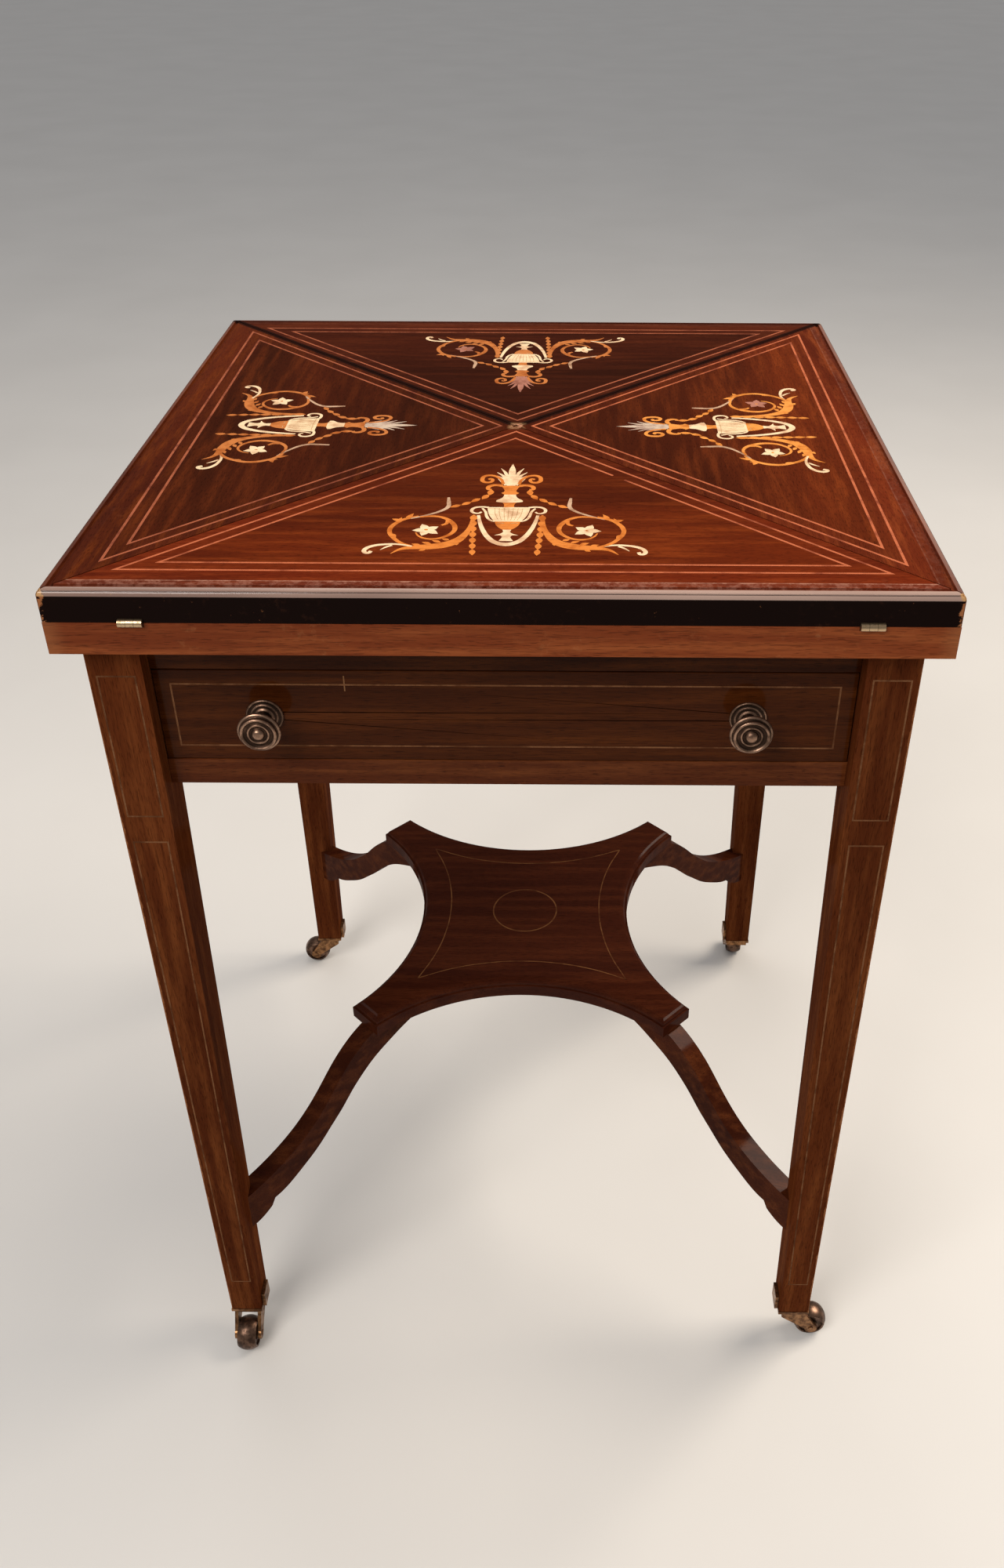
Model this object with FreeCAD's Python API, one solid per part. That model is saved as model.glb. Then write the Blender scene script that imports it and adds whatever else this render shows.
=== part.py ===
import FreeCAD, Part
import math
import os

os.makedirs("parts", exist_ok=True)

Vec = FreeCAD.Vector
up = Vec(0, 0, 1)
origin = Vec(0, 0, 0)

# An envelope card table. X runs to the right, Y to the back, Z up, with the origin on the floor
# under the middle of the top. The front, with the drawer, faces minus Y. Lengths are in millimetres.

# Whole object
top_side = 533.0
top_height = 751.0
castor_height = 41.0
cut_overrun = 4.0

# Fits
joint_clearance = 0.1
body_clearance = 0.3
running_clearance = 0.06

# Leaves and bed
leaf_thickness = 20.8
leaf_gap = 0.2
bed_thickness = 21.0
swivel_gap = 0.6
seam_gap = 1.0
band_height = 16.8
bead_width = 4.2
bead_rise_x = 1.2
bead_rise_z = 2.8
bead_groove_radius = 0.45
reed_start = 4.8
reed_width = 3.2
reed_depth = 1.2
reed_slope = 0.3

# Baize linings, let in just below the wood
baize_thickness = 0.7
baize_recess = 0.9
baize_clearance = 0.2
hinge_border = 24.0
open_border = 38.0

# Knuckle hinges
hinge_from_corner = 51.5
hinge_length = 14.2
hinge_stand_out = 0.3
knuckle_radius = 2.6
knuckle_gap = 0.2
hinge_pin_radius = 1.2
flap_reach = 20.0
flap_thickness = 1.5

# Frame
top_overhang = 14.0
leg_top_width = 33.5
leg_foot_width = 25.5
rail_setback = 13.0
rail_height = 111.0
tenon_thickness = 8.0
tenon_shoulder = 8.0
tenon_haunch = 14.0
front_top_rail_height = 25.0
front_top_rail_depth = 40.0
front_low_rail_height = 19.0
front_low_rail_depth = 30.0
front_tenon_shoulder = 4.0
runner_width = 22.0
runner_height = 12.0
kicker_width = 20.0
kicker_height = 8.0

# Swivel
bearer_width = 104.0
bearer_housing = 5.0
pivot_radius = 6.0
pivot_flange_radius = 28.0
pivot_flange_thickness = 4.0
pivot_end_drop = 17.0
swivel_washer_radius = 24.0
nut_recess_depth = 9.0
nut_recess_radius = 15.0
lower_washer_radius = 12.0
lower_washer_thickness = 1.5
pivot_nut_radius = 10.0
pivot_nut_height = 6.0
peg_circle_radius = 37.0
peg_radius = 4.0
peg_socket_depth = 10.0
peg_drop = 14.0
swivel_angle = 45.0

# Drawer
drawer_gap = 0.6
drawer_side_gap = 0.8
drawer_front_thickness = 19.0
drawer_side_thickness = 9.0
drawer_side_inset = 0.5
drawer_side_height = 58.0
drawer_back_thickness = 9.0
drawer_back_drop = 4.0
drawer_back_gap = 0.3
drawer_bottom_thickness = 6.0
drawer_bottom_rise = 6.0
drawer_groove_depth = 4.5
front_lap = 5.0
tail_root = 8.0
tail_end = 12.0
tail_count = 3
back_tail_count = 2

# Knobs
knob_spread = 304.0
stud_radius = 2.5
rose_radius = 11.9
rose_thickness = 3.6
rose_ring = 1.2
rose_step = 1.0
neck_radius = 5.2
waist_radius = 3.6
waist_out = 9.5
flare_radius = 9.6
flare_out = 15.5
disc_radius = 13.6
disc_back_out = 18.0
disc_front_out = 20.5
disc_rim_round = 1.0
face_radius = 11.5
face_out = 23.5
dish_radius = 9.8
dish_out = 22.0
boss_radius = 3.5
boss_out = 24.5
knob_nut_radius = 5.5
knob_nut_height = 4.0
stud_tail = 6.0

# Undertier and stretchers
shelf_top_z = 283.0
shelf_thickness = 16.0
shelf_corner_width = 33.0
shelf_edge_round = 5.5
shelf_edge_step = 1.5
stretcher_thickness = 16.0
stretcher_leg_z = 172.0

# The shelf's corners reach out to a share of the way to the legs, and its sides hollow in to a share of that
shelf_reach_share = 0.5905
shelf_waist_share = 0.657

# Points of a stretcher's upper and lower curve, as shares of the run from the shelf's corner to the leg
# and of the drop from the shelf's underside to the leg
stretcher_top_shares = [
    (-0.10, 1.0), (0.015, 0.947), (0.13, 0.853), (0.245, 0.716), (0.368, 0.526), (0.49, 0.358),
    (0.613, 0.232), (0.743, 0.137), (0.858, 0.074), (0.981, 0.025), (1.088, -0.01),
]
stretcher_low_shares = [
    (0.874, -0.232), (0.766, -0.19), (0.667, -0.116), (0.567, -0.032), (0.475, 0.063), (0.383, 0.179),
    (0.291, 0.295), (0.199, 0.432), (0.107, 0.547), (0.0, 0.653), (-0.123, 0.737), (-0.253, 0.811),
    (-0.444, 0.884), (-0.613, 0.916),
]
stretcher_toe_shares = [(1.088, -0.40), (0.981, -0.368), (0.904, -0.305)]

# Castors
castor_plate_thickness = 3.0
castor_plate_lip = 0.6
castor_tab_thickness = 3.0
castor_tab_height = 13.0
castor_tab_width = 15.0
castor_tab_gap = 0.4
stem_radius = 3.5
stem_length = 20.0
stem_socket_spare = 1.0
crown_radius = 9.5
crown_thickness = 6.5
wheel_radius = 14.5
wheel_width = 16.0
wheel_edge_drop = 2.5
wheel_hub_radius = 6.0
wheel_dish_radius = 10.5
wheel_dish_depth = 1.5
castor_trail = 18.0
cheek_thickness = 3.0
cheek_gap = 0.5
cheek_eye_radius = 5.5
axle_radius = 2.2
axle_end = 0.6
castor_turns = {"front_left": -90.0, "front_right": 0.0, "back_left": 180.0, "back_right": 90.0}

# Sizes that follow from those above
half_top = top_side / 2
leaf_bottom = top_height - leaf_thickness
bed_top = leaf_bottom - leaf_gap
bed_bottom = bed_top - bed_thickness
frame_top = bed_bottom - swivel_gap
hinge_axis_z = bed_top + leaf_gap / 2
hinge_axis_out = half_top + hinge_stand_out
leg_out = half_top - top_overhang
leg_in = leg_out - leg_top_width
rail_face = leg_out - rail_setback
rail_thickness = rail_face - leg_in
rail_bottom = frame_top - rail_height
drawer_z0 = rail_bottom + front_low_rail_height + drawer_gap
drawer_z1 = frame_top - front_top_rail_height - drawer_gap
drawer_half = leg_in - drawer_side_gap
drawer_face = -rail_face
drawer_inner_face = drawer_face + drawer_front_thickness
drawer_rear = leg_in - drawer_back_gap
side_out = drawer_half - drawer_side_inset
side_in = side_out - drawer_side_thickness
side_top = drawer_z0 + drawer_side_height
kicker_z0 = frame_top - front_top_rail_height
bearer_z0 = kicker_z0 + kicker_height
shelf_bottom = shelf_top_z - shelf_thickness
castor_place = leg_out - leg_foot_width / 2
leg_slope = (leg_top_width - leg_foot_width) / (rail_bottom - castor_height)
leg_width_there = leg_foot_width + leg_slope * (stretcher_leg_z - castor_height)
leg_corner_reach = (leg_out - leg_width_there) * math.sqrt(2)
shelf_corner_reach = leg_corner_reach * shelf_reach_share
shelf_waist = shelf_waist_share * (shelf_corner_reach + shelf_corner_width / 2) / math.sqrt(2)
stretcher_run = leg_corner_reach - shelf_corner_reach
stretcher_drop = shelf_bottom - stretcher_leg_z

corner_signs = {
    "front_left": (-1, -1),
    "front_right": (1, -1),
    "back_left": (-1, 1),
    "back_right": (1, 1),
}
side_turns = {"front": 0, "right": 90, "back": 180, "left": 270}


def save(name, shapes):
    """Write one named piece, or a group of like solids, as a STEP file."""
    solids = []
    for shape in shapes:
        solids.extend(shape.Solids)
    result = solids[0] if len(solids) == 1 else Part.makeCompound(solids)
    result.exportStep("parts/" + name + ".step")


def box(x0, y0, z0, x1, y1, z1):
    """Box between two opposite corners, given in any order."""
    low = Vec(min(x0, x1), min(y0, y1), min(z0, z1))
    return Part.makeBox(abs(x1 - x0), abs(y1 - y0), abs(z1 - z0), low)


def prism(points, run):
    """Straight-sided solid on a closed polygon."""
    return Part.Face(Part.makePolygon(points + [points[0]])).extrude(run)


def turned(profile):
    """Solid turned about Z from a closed profile of radius and height pairs."""
    points = [Vec(r, 0, z) for r, z in profile]
    return Part.Face(Part.makePolygon(points + [points[0]])).revolve(origin, up, 360)


def rod(radius, start, end):
    """Round bar between two points."""
    run = end - start
    return Part.makeCylinder(radius, run.Length, start, run)


def turn(shape, angle):
    """Copy turned about the table's upright axis."""
    result = shape.copy()
    result.rotate(origin, up, angle)
    return result


def flip_x(shape):
    """Mirror image across the table's middle plane."""
    return shape.mirror(origin, Vec(1, 0, 0))


def tenon(z0, z1, grow):
    """Mitred tenon of the right rail at the back right leg; grow widens it into the mortise."""
    middle = rail_face - rail_thickness / 2
    x0 = middle - tenon_thickness / 2 - grow
    x1 = middle + tenon_thickness / 2 + grow
    mitre = joint_clearance - grow / 2
    plan = [
        Vec(x0, leg_in - grow, z0 - grow),
        Vec(x1, leg_in - grow, z0 - grow),
        Vec(x1, x1 - mitre, z0 - grow),
        Vec(x0, x0 - mitre, z0 - grow),
    ]
    return prism(plan, Vec(0, 0, z1 - z0 + grow + grow))


def tenon_pair(z0, z1, grow):
    """The tenons at both ends of the right rail."""
    back = tenon(z0, z1, grow)
    return [back, back.mirror(origin, Vec(0, 1, 0))]


# Rails, each with a tenon at both ends
side_z0 = rail_bottom + tenon_shoulder
side_z1 = frame_top - tenon_haunch
housing = box(
    leg_in - cut_overrun, -bearer_width / 2 - joint_clearance, bearer_z0 - joint_clearance,
    leg_in + bearer_housing + joint_clearance, bearer_width / 2 + joint_clearance, frame_top + cut_overrun)
plain_rail = box(leg_in, -leg_in, rail_bottom, rail_face, leg_in, frame_top)
plain_rail = plain_rail.fuse(tenon_pair(side_z0, side_z1, 0)).removeSplitter()
rail_right = plain_rail.cut(housing)
save("rail_right", [rail_right])
save("rail_left", [flip_x(rail_right)])
save("rail_back", [turn(plain_rail, 90)])

top_rail_z0 = frame_top - front_top_rail_height
top_tenon_z = (top_rail_z0 + front_tenon_shoulder, frame_top - front_tenon_shoulder)
low_rail_z1 = rail_bottom + front_low_rail_height
low_tenon_z = (rail_bottom + front_tenon_shoulder, low_rail_z1 - front_tenon_shoulder)


def front_rail(z0, z1, depth, tenon_z):
    """Rail between the front legs, drawn on the right side and turned to the front."""
    body = box(rail_face - depth, -leg_in, z0, rail_face, leg_in, z1)
    ends = tenon_pair(tenon_z[0], tenon_z[1], 0)
    return turn(body.fuse(ends).removeSplitter(), -90)


save("rail_front_top", [front_rail(top_rail_z0, frame_top, front_top_rail_depth, top_tenon_z)])
save("rail_front_low", [front_rail(rail_bottom, low_rail_z1, front_low_rail_depth, low_tenon_z)])

# Legs: square behind the frieze, tapering on the two inner sides below it
side_mortises = tenon_pair(side_z0, side_z1, joint_clearance)
front_mortises = tenon_pair(top_tenon_z[0], top_tenon_z[1], joint_clearance)
front_mortises += tenon_pair(low_tenon_z[0], low_tenon_z[1], joint_clearance)
mortises = list(side_mortises)
mortises += [flip_x(tool) for tool in side_mortises]
mortises += [turn(tool, 90) for tool in side_mortises]
mortises += [turn(tool, -90) for tool in front_mortises]


def leg_square(width, z):
    """Outline of the back right leg at one height."""
    inner = leg_out - width
    points = [Vec(leg_out, leg_out, z), Vec(inner, leg_out, z), Vec(inner, inner, z), Vec(leg_out, inner, z)]
    return Part.makePolygon(points + [points[0]])


foot_square = leg_square(leg_foot_width, castor_height)
knee_square = leg_square(leg_top_width, rail_bottom)
taper = Part.makeLoft([foot_square, knee_square], True, True)
block = box(leg_in, leg_in, rail_bottom, leg_out, leg_out, frame_top)
stem_socket = rod(
    stem_radius + body_clearance, Vec(castor_place, castor_place, castor_height - cut_overrun),
    Vec(castor_place, castor_place, castor_height + stem_length + stem_socket_spare))
plain_leg = taper.fuse(block).removeSplitter().cut(stem_socket)
quarter_turns = {"back_right": 0, "back_left": 90, "front_left": 180, "front_right": 270}
legs = {}
for corner, angle in quarter_turns.items():
    legs[corner] = turn(plain_leg, angle).cut(mortises)
    save("leg_" + corner, [legs[corner]])

# Drawer runners, kickers and the bearer for the swivel
runner_front = -rail_face + front_low_rail_depth
runner = box(leg_in - runner_width, runner_front, low_rail_z1 - runner_height, leg_in, leg_in, low_rail_z1)
save("drawer_runners", [runner, flip_x(runner)])
kicker_front = -rail_face + front_top_rail_depth
kicker = box(leg_in - kicker_width, kicker_front, kicker_z0, leg_in, leg_in, kicker_z0 + kicker_height)
save("drawer_kickers", [kicker, flip_x(kicker)])

bearer_half = leg_in + bearer_housing
bearer = box(-bearer_half, -bearer_width / 2, bearer_z0, bearer_half, bearer_width / 2, frame_top)
bore_start = Vec(0, 0, bearer_z0 - cut_overrun)
pivot_bore = rod(pivot_radius + body_clearance, bore_start, Vec(0, 0, frame_top + cut_overrun))
nut_recess = rod(nut_recess_radius, bore_start, Vec(0, 0, bearer_z0 + nut_recess_depth))
slot_inner = peg_circle_radius - peg_radius - body_clearance
slot_outer = peg_circle_radius + peg_radius + body_clearance
slot_height = frame_top - bearer_z0 + cut_overrun + cut_overrun
slot = Part.makeCylinder(slot_outer, slot_height, bore_start, up, swivel_angle)
slot = slot.cut(Part.makeCylinder(slot_inner, slot_height, bore_start, up))
slot_end_start = bore_start + Vec(peg_circle_radius, 0, 0)
slot_end = Part.makeCylinder(peg_radius + body_clearance, slot_height, slot_end_start, up)
slot = slot.fuse([slot_end, turn(slot_end, swivel_angle)])
slot = turn(slot, -swivel_angle / 2)
save("pivot_bearer", [bearer.cut([pivot_bore, nut_recess, slot])])

washer = rod(swivel_washer_radius, Vec(0, 0, frame_top), Vec(0, 0, bed_bottom))
washer = washer.cut(rod(pivot_radius + body_clearance, Vec(0, 0, frame_top), Vec(0, 0, bed_bottom)))
save("swivel_washer", [washer])

# Swivel pieces that turn with the bed
flange = rod(pivot_flange_radius, Vec(0, 0, bed_bottom), Vec(0, 0, bed_bottom + pivot_flange_thickness))
bolt = rod(pivot_radius, Vec(0, 0, frame_top - pivot_end_drop), Vec(0, 0, bed_bottom))
save("pivot_bolt", [flange.fuse(bolt)])
seat_z = bearer_z0 + nut_recess_depth
washer_z = seat_z - lower_washer_thickness
nut_z = washer_z - pivot_nut_height
bolt_hole = rod(
    pivot_radius + running_clearance, Vec(0, 0, nut_z - cut_overrun), Vec(0, 0, seat_z + cut_overrun))
lower_washer = rod(lower_washer_radius, Vec(0, 0, washer_z), Vec(0, 0, seat_z))
save("pivot_lower_washer", [lower_washer.cut(bolt_hole)])


def hexagon(radius, height, start):
    """Six-sided nut blank standing on a point."""
    points = []
    for step in range(6):
        angle = math.radians(60 * step)
        points.append(start + Vec(radius * math.cos(angle), radius * math.sin(angle), 0))
    return prism(points, Vec(0, 0, height))


save("pivot_nut", [hexagon(pivot_nut_radius, pivot_nut_height, Vec(0, 0, nut_z)).cut(bolt_hole)])
peg_start = turn(Part.Vertex(Vec(peg_circle_radius, 0, 0)), -swivel_angle / 2).Point
peg_low = peg_start + Vec(0, 0, frame_top - peg_drop)
peg_high = peg_start + Vec(0, 0, bed_bottom + peg_socket_depth)
save("stop_peg", [rod(peg_radius, peg_low, peg_high)])

# Hinges, drawn on the front edge
axis_y = -hinge_axis_out
knuckle = (hinge_length - knuckle_gap - knuckle_gap) / 3
hinge_x = half_top - hinge_from_corner


def axis_rod(radius, x0, x1):
    """Round bar along the front hinge line."""
    return rod(radius, Vec(x0, axis_y, hinge_axis_z), Vec(x1, axis_y, hinge_axis_z))


def hinge(x):
    """Bed flap with two knuckles, leaf flap with the middle one, and the pin, about one place."""
    x0 = x - hinge_length / 2
    x1 = x + hinge_length / 2
    mid0 = x - knuckle / 2
    mid1 = x + knuckle / 2
    y1 = axis_y + flap_reach
    bed_flap = box(x0, axis_y, bed_top - flap_thickness, x1, y1, bed_top)
    bed_flap = bed_flap.cut(axis_rod(knuckle_radius + body_clearance, mid0 - knuckle_gap, mid1 + knuckle_gap))
    ends = [
        axis_rod(knuckle_radius, x0, mid0 - knuckle_gap),
        axis_rod(knuckle_radius, mid1 + knuckle_gap, x1),
    ]
    pin_hole = axis_rod(hinge_pin_radius + running_clearance, x0 - cut_overrun, x1 + cut_overrun)
    bed_flap = bed_flap.fuse(ends).cut(pin_hole)
    leaf_flap = box(x0, axis_y, leaf_bottom, x1, y1, leaf_bottom + flap_thickness)
    for start, end in ((x0 - cut_overrun, mid0), (mid1, x1 + cut_overrun)):
        leaf_flap = leaf_flap.cut(axis_rod(knuckle_radius + body_clearance, start, end))
    leaf_flap = leaf_flap.fuse(axis_rod(knuckle_radius, mid0, mid1)).cut(pin_hole)
    pin = axis_rod(hinge_pin_radius, x0, x1)
    return bed_flap, leaf_flap, pin


def hinge_cut(x):
    """Room for one hinge in the bed and in the leaf."""
    x0 = x - hinge_length / 2 - joint_clearance
    x1 = x + hinge_length / 2 + joint_clearance
    y1 = axis_y + flap_reach + joint_clearance
    drop = flap_thickness + joint_clearance
    barrel = axis_rod(knuckle_radius + body_clearance, x0 - body_clearance, x1 + body_clearance)
    in_bed = box(x0, axis_y, bed_top - drop, x1, y1, bed_top + cut_overrun).fuse(barrel)
    in_leaf = box(x0, axis_y, leaf_bottom - cut_overrun, x1, y1, leaf_bottom + drop).fuse(barrel)
    return in_bed, in_leaf


bed_flaps = []
hinge_pins = []
leaf_flaps = []
bed_cuts = []
leaf_cuts = []
for place in (-hinge_x, hinge_x):
    bed_flap, leaf_flap, pin = hinge(place)
    in_bed, in_leaf = hinge_cut(place)
    leaf_flaps.append(leaf_flap)
    leaf_cuts.append(in_leaf)
    for angle in side_turns.values():
        bed_flaps.append(turn(bed_flap, angle))
        hinge_pins.append(turn(pin, angle))
        bed_cuts.append(turn(in_bed, angle))
save("hinge_bed_flaps", bed_flaps)
save("hinge_pins", hinge_pins)

# Bed board with its hinge seats, baize recess and swivel seats
bed = box(-half_top, -half_top, bed_bottom, half_top, half_top, bed_top)
baize_half = half_top - hinge_border
bed_recess = box(
    -baize_half, -baize_half, bed_top - baize_recess, baize_half, baize_half, bed_top + cut_overrun)
flange_seat = rod(
    pivot_flange_radius + joint_clearance, Vec(0, 0, bed_bottom - cut_overrun),
    Vec(0, 0, bed_bottom + pivot_flange_thickness))
peg_hole = rod(peg_radius + joint_clearance, peg_start + Vec(0, 0, bed_bottom - cut_overrun), peg_high)
save("bed", [bed.cut(bed_cuts + [bed_recess, flange_seat, peg_hole])])
lining_half = baize_half - baize_clearance
bed_lining_z = bed_top - baize_recess
save("bed_baize", [box(
    -lining_half, -lining_half, bed_lining_z, lining_half, lining_half, bed_lining_z + baize_thickness)])

# Leaves: the moulded section, its bead parted by a groove, runs along the front edge and is cut to a
# triangle by the two seams


def triangle(edge_in, seam_in, z0, z1):
    """Prism over the front quarter of the square, set in from the edge and from the seams."""
    base_y = -half_top + edge_in
    apex_y = -seam_in * math.sqrt(2)
    half_base = apex_y - base_y
    points = [Vec(-half_base, base_y, z0), Vec(half_base, base_y, z0), Vec(0, apex_y, z0)]
    return prism(points, Vec(0, 0, z1 - z0))


def edge_point(inward, rise):
    """Point of the leaf's section, measured in from the edge and up from the underside."""
    return Vec(-half_top, -half_top + inward, leaf_bottom + rise)


def leaf_section():
    """Moulded section of a leaf: black band, bead, reed and flat top."""
    bead = Part.Arc(
        edge_point(0, band_height), edge_point(bead_rise_x, band_height + bead_rise_z),
        edge_point(bead_width, leaf_thickness)).toShape()
    reed_end = reed_start + reed_width
    rest = Part.makePolygon([
        edge_point(bead_width, leaf_thickness),
        edge_point(reed_start, leaf_thickness),
        edge_point(reed_start + reed_slope, leaf_thickness - reed_depth),
        edge_point(reed_end - reed_slope, leaf_thickness - reed_depth),
        edge_point(reed_end, leaf_thickness),
        edge_point(half_top, leaf_thickness),
        edge_point(half_top, 0),
        edge_point(0, 0),
        edge_point(0, band_height),
    ])
    return Part.Face(Part.Wire([bead] + rest.Edges))


half_seam = seam_gap / 2
groove_start = edge_point(bead_rise_x, band_height + bead_rise_z)
bead_groove = rod(bead_groove_radius, groove_start, groove_start + Vec(top_side, 0, 0))
leaf = leaf_section().extrude(Vec(top_side, 0, 0)).cut(bead_groove)
leaf = leaf.common(triangle(0, half_seam, leaf_bottom, top_height))
leaf_recess = triangle(hinge_border, open_border, leaf_bottom - cut_overrun, leaf_bottom + baize_recess)
leaf = leaf.cut(leaf_cuts + [leaf_recess])
lining_top = leaf_bottom + baize_recess
leaf_lining = triangle(
    hinge_border + baize_clearance, open_border + baize_clearance, lining_top - baize_thickness, lining_top)
for side, angle in side_turns.items():
    save("leaf_" + side, [turn(leaf, angle)])
    save("leaf_" + side + "_baize", [turn(leaf_lining, angle)])
    save("hinge_leaf_flaps_" + side, [turn(flap, angle) for flap in leaf_flaps])


# Drawer, dovetailed at front and back


def tails(y0, y1, z0, z1, count, grow):
    """Row of dovetails on the right drawer side, from the root at y0 to the wide end at y1."""
    pitch = (z1 - z0) / count
    reach = grow if y1 > y0 else -grow
    row = []
    for step in range(count):
        middle = z0 + pitch * (step + 0.5)
        root = tail_root / 2 + grow
        wide = tail_end / 2 + grow
        x0 = side_in - grow
        points = [
            Vec(x0, y0, middle - root),
            Vec(x0, y1 + reach, middle - wide),
            Vec(x0, y1 + reach, middle + wide),
            Vec(x0, y0, middle + root),
        ]
        row.append(prism(points, Vec(side_out - side_in + grow + grow, 0, 0)))
    return row


groove_z0 = drawer_z0 + drawer_bottom_rise
groove_z1 = groove_z0 + drawer_bottom_thickness
front_tail_z0 = groove_z1 + joint_clearance
tail_y = drawer_face + front_lap
back_y0 = drawer_rear - drawer_back_thickness
back_z0 = groove_z1 + joint_clearance
back_z1 = side_top - drawer_back_drop

front_tails = tails(drawer_inner_face, tail_y, front_tail_z0, side_top, tail_count, 0)
back_tails = tails(back_y0, drawer_rear, back_z0, back_z1, back_tail_count, 0)
groove_reach = side_in + drawer_groove_depth
groove_cut = box(
    -groove_reach - joint_clearance, drawer_inner_face - cut_overrun, groove_z0 - joint_clearance,
    groove_reach + joint_clearance, drawer_rear + cut_overrun, groove_z1 + joint_clearance)
side = box(side_in, drawer_inner_face, drawer_z0, side_out, back_y0, side_top)
below = box(side_in, back_y0, drawer_z0, side_out, drawer_rear, back_z0)
side = side.fuse(front_tails + back_tails + [below]).removeSplitter().cut(groove_cut)
save("drawer_side_right", [side])
save("drawer_side_left", [flip_x(side)])

front = box(-drawer_half, drawer_face, drawer_z0, drawer_half, drawer_inner_face, drawer_z1)
sockets = tails(drawer_inner_face, tail_y, front_tail_z0, side_top, tail_count, joint_clearance)
sockets += [flip_x(tool) for tool in sockets]
front_groove = box(
    -groove_reach - joint_clearance, drawer_inner_face - drawer_groove_depth - joint_clearance,
    groove_z0 - joint_clearance, groove_reach + joint_clearance, drawer_inner_face + cut_overrun,
    groove_z1 + joint_clearance)
knob_z = (drawer_z0 + drawer_z1) / 2
knob_x = knob_spread / 2
stud_holes = []
for place in (-knob_x, knob_x):
    stud_holes.append(rod(
        stud_radius + joint_clearance, Vec(place, drawer_face - cut_overrun, knob_z),
        Vec(place, drawer_inner_face + cut_overrun, knob_z)))
save("drawer_front", [front.cut(sockets + [front_groove] + stud_holes)])

back = box(-side_out, back_y0, back_z0, side_out, drawer_rear, back_z1)
back_sockets = tails(back_y0, drawer_rear, back_z0, back_z1, back_tail_count, joint_clearance)
back_sockets += [flip_x(tool) for tool in back_sockets]
save("drawer_back", [back.cut(back_sockets)])
save("drawer_bottom", [box(
    -groove_reach, drawer_inner_face - drawer_groove_depth, groove_z0, groove_reach, drawer_rear, groove_z1)])

# Knobs, turned about Z and then laid to point forward
knob_profile = [
    (0, -drawer_front_thickness - stud_tail), (stud_radius, -drawer_front_thickness - stud_tail),
    (stud_radius, rose_thickness), (neck_radius, rose_thickness), (waist_radius, waist_out),
    (flare_radius, flare_out), (disc_radius - disc_rim_round, disc_back_out),
    (disc_radius, disc_back_out + disc_rim_round), (disc_radius, disc_front_out - disc_rim_round),
    (disc_radius - disc_rim_round, disc_front_out), (face_radius, disc_front_out),
    (face_radius, face_out - disc_rim_round), (face_radius - disc_rim_round, face_out),
    (dish_radius, face_out), (dish_radius - rose_step, dish_out), (boss_radius + rose_step, dish_out),
    (boss_radius, boss_out - rose_step), (boss_radius - rose_step, boss_out), (0, boss_out),
]
rose_hole = stud_radius + joint_clearance
rose_profile = [
    (rose_hole, 0), (rose_radius, 0), (rose_radius, rose_ring),
    (rose_radius - rose_step, rose_ring + rose_step),
    (neck_radius + rose_step + rose_step, rose_ring + rose_step), (neck_radius + rose_step, rose_thickness),
    (rose_hole, rose_thickness),
]
nut_start = Vec(0, 0, -drawer_front_thickness - knob_nut_height)
knob_nut = hexagon(knob_nut_radius, knob_nut_height, nut_start)
knob_nut = knob_nut.cut(rod(rose_hole, nut_start, Vec(0, 0, -drawer_front_thickness)))


def at_knobs(shape):
    """Copies of a piece at both knobs, pointing forward."""
    result = []
    for place in (-knob_x, knob_x):
        copy = shape.copy()
        copy.rotate(origin, Vec(1, 0, 0), 90)
        copy.translate(Vec(place, drawer_face, knob_z))
        result.append(copy)
    return result


save("knobs", at_knobs(turned(knob_profile)))
save("knob_roses", at_knobs(turned(rose_profile)))
save("knob_nuts", at_knobs(knob_nut))

# Undertier shelf: four hollowed sides between cut corners, with a rounded upper edge


def shelf_outline(inset, z):
    """Closed outline of the shelf at one height, drawn in by an inset all round."""
    reach = (shelf_corner_reach - inset) / math.sqrt(2)
    half = (shelf_corner_width / 2 - inset) / math.sqrt(2)
    waist = shelf_waist - inset
    edges = []
    for angle in side_turns.values():
        start = Vec(-reach + half, -reach - half, z)
        end = Vec(reach - half, -reach - half, z)
        corner_end = Vec(reach + half, -reach + half, z)
        arc = Part.Arc(start, Vec(0, -waist, z), end).toShape()
        edges.append(turn(arc, angle))
        edges.append(turn(Part.makeLine(end, corner_end), angle))
    return Part.Wire(edges)


shelf_base_top = shelf_top_z - shelf_edge_round
shelf = Part.Face(shelf_outline(0, shelf_bottom)).extrude(Vec(0, 0, shelf_base_top - shelf_bottom))
round_steps = 4
layers = []
for step in range(round_steps + 1):
    angle = math.radians(90 * step / round_steps)
    inset = shelf_edge_step + shelf_edge_round * (1 - math.cos(angle))
    layers.append(shelf_outline(inset, shelf_base_top + shelf_edge_round * math.sin(angle)))
for low, high in zip(layers[:-1], layers[1:]):
    shelf = shelf.fuse(Part.makeLoft([low, high], True, True))
save("undertier_shelf", [shelf])

# Serpentine stretchers, drawn along X and turned to the diagonals


def stretcher_point(pair):
    """Point of a stretcher's side from its two shares."""
    return Vec(
        shelf_corner_reach + pair[0] * stretcher_run, -stretcher_thickness / 2,
        stretcher_leg_z + pair[1] * stretcher_drop)


def smooth(points):
    """Smooth curve through points."""
    curve = Part.BSplineCurve()
    curve.interpolate(points)
    return curve.toShape()


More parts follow.
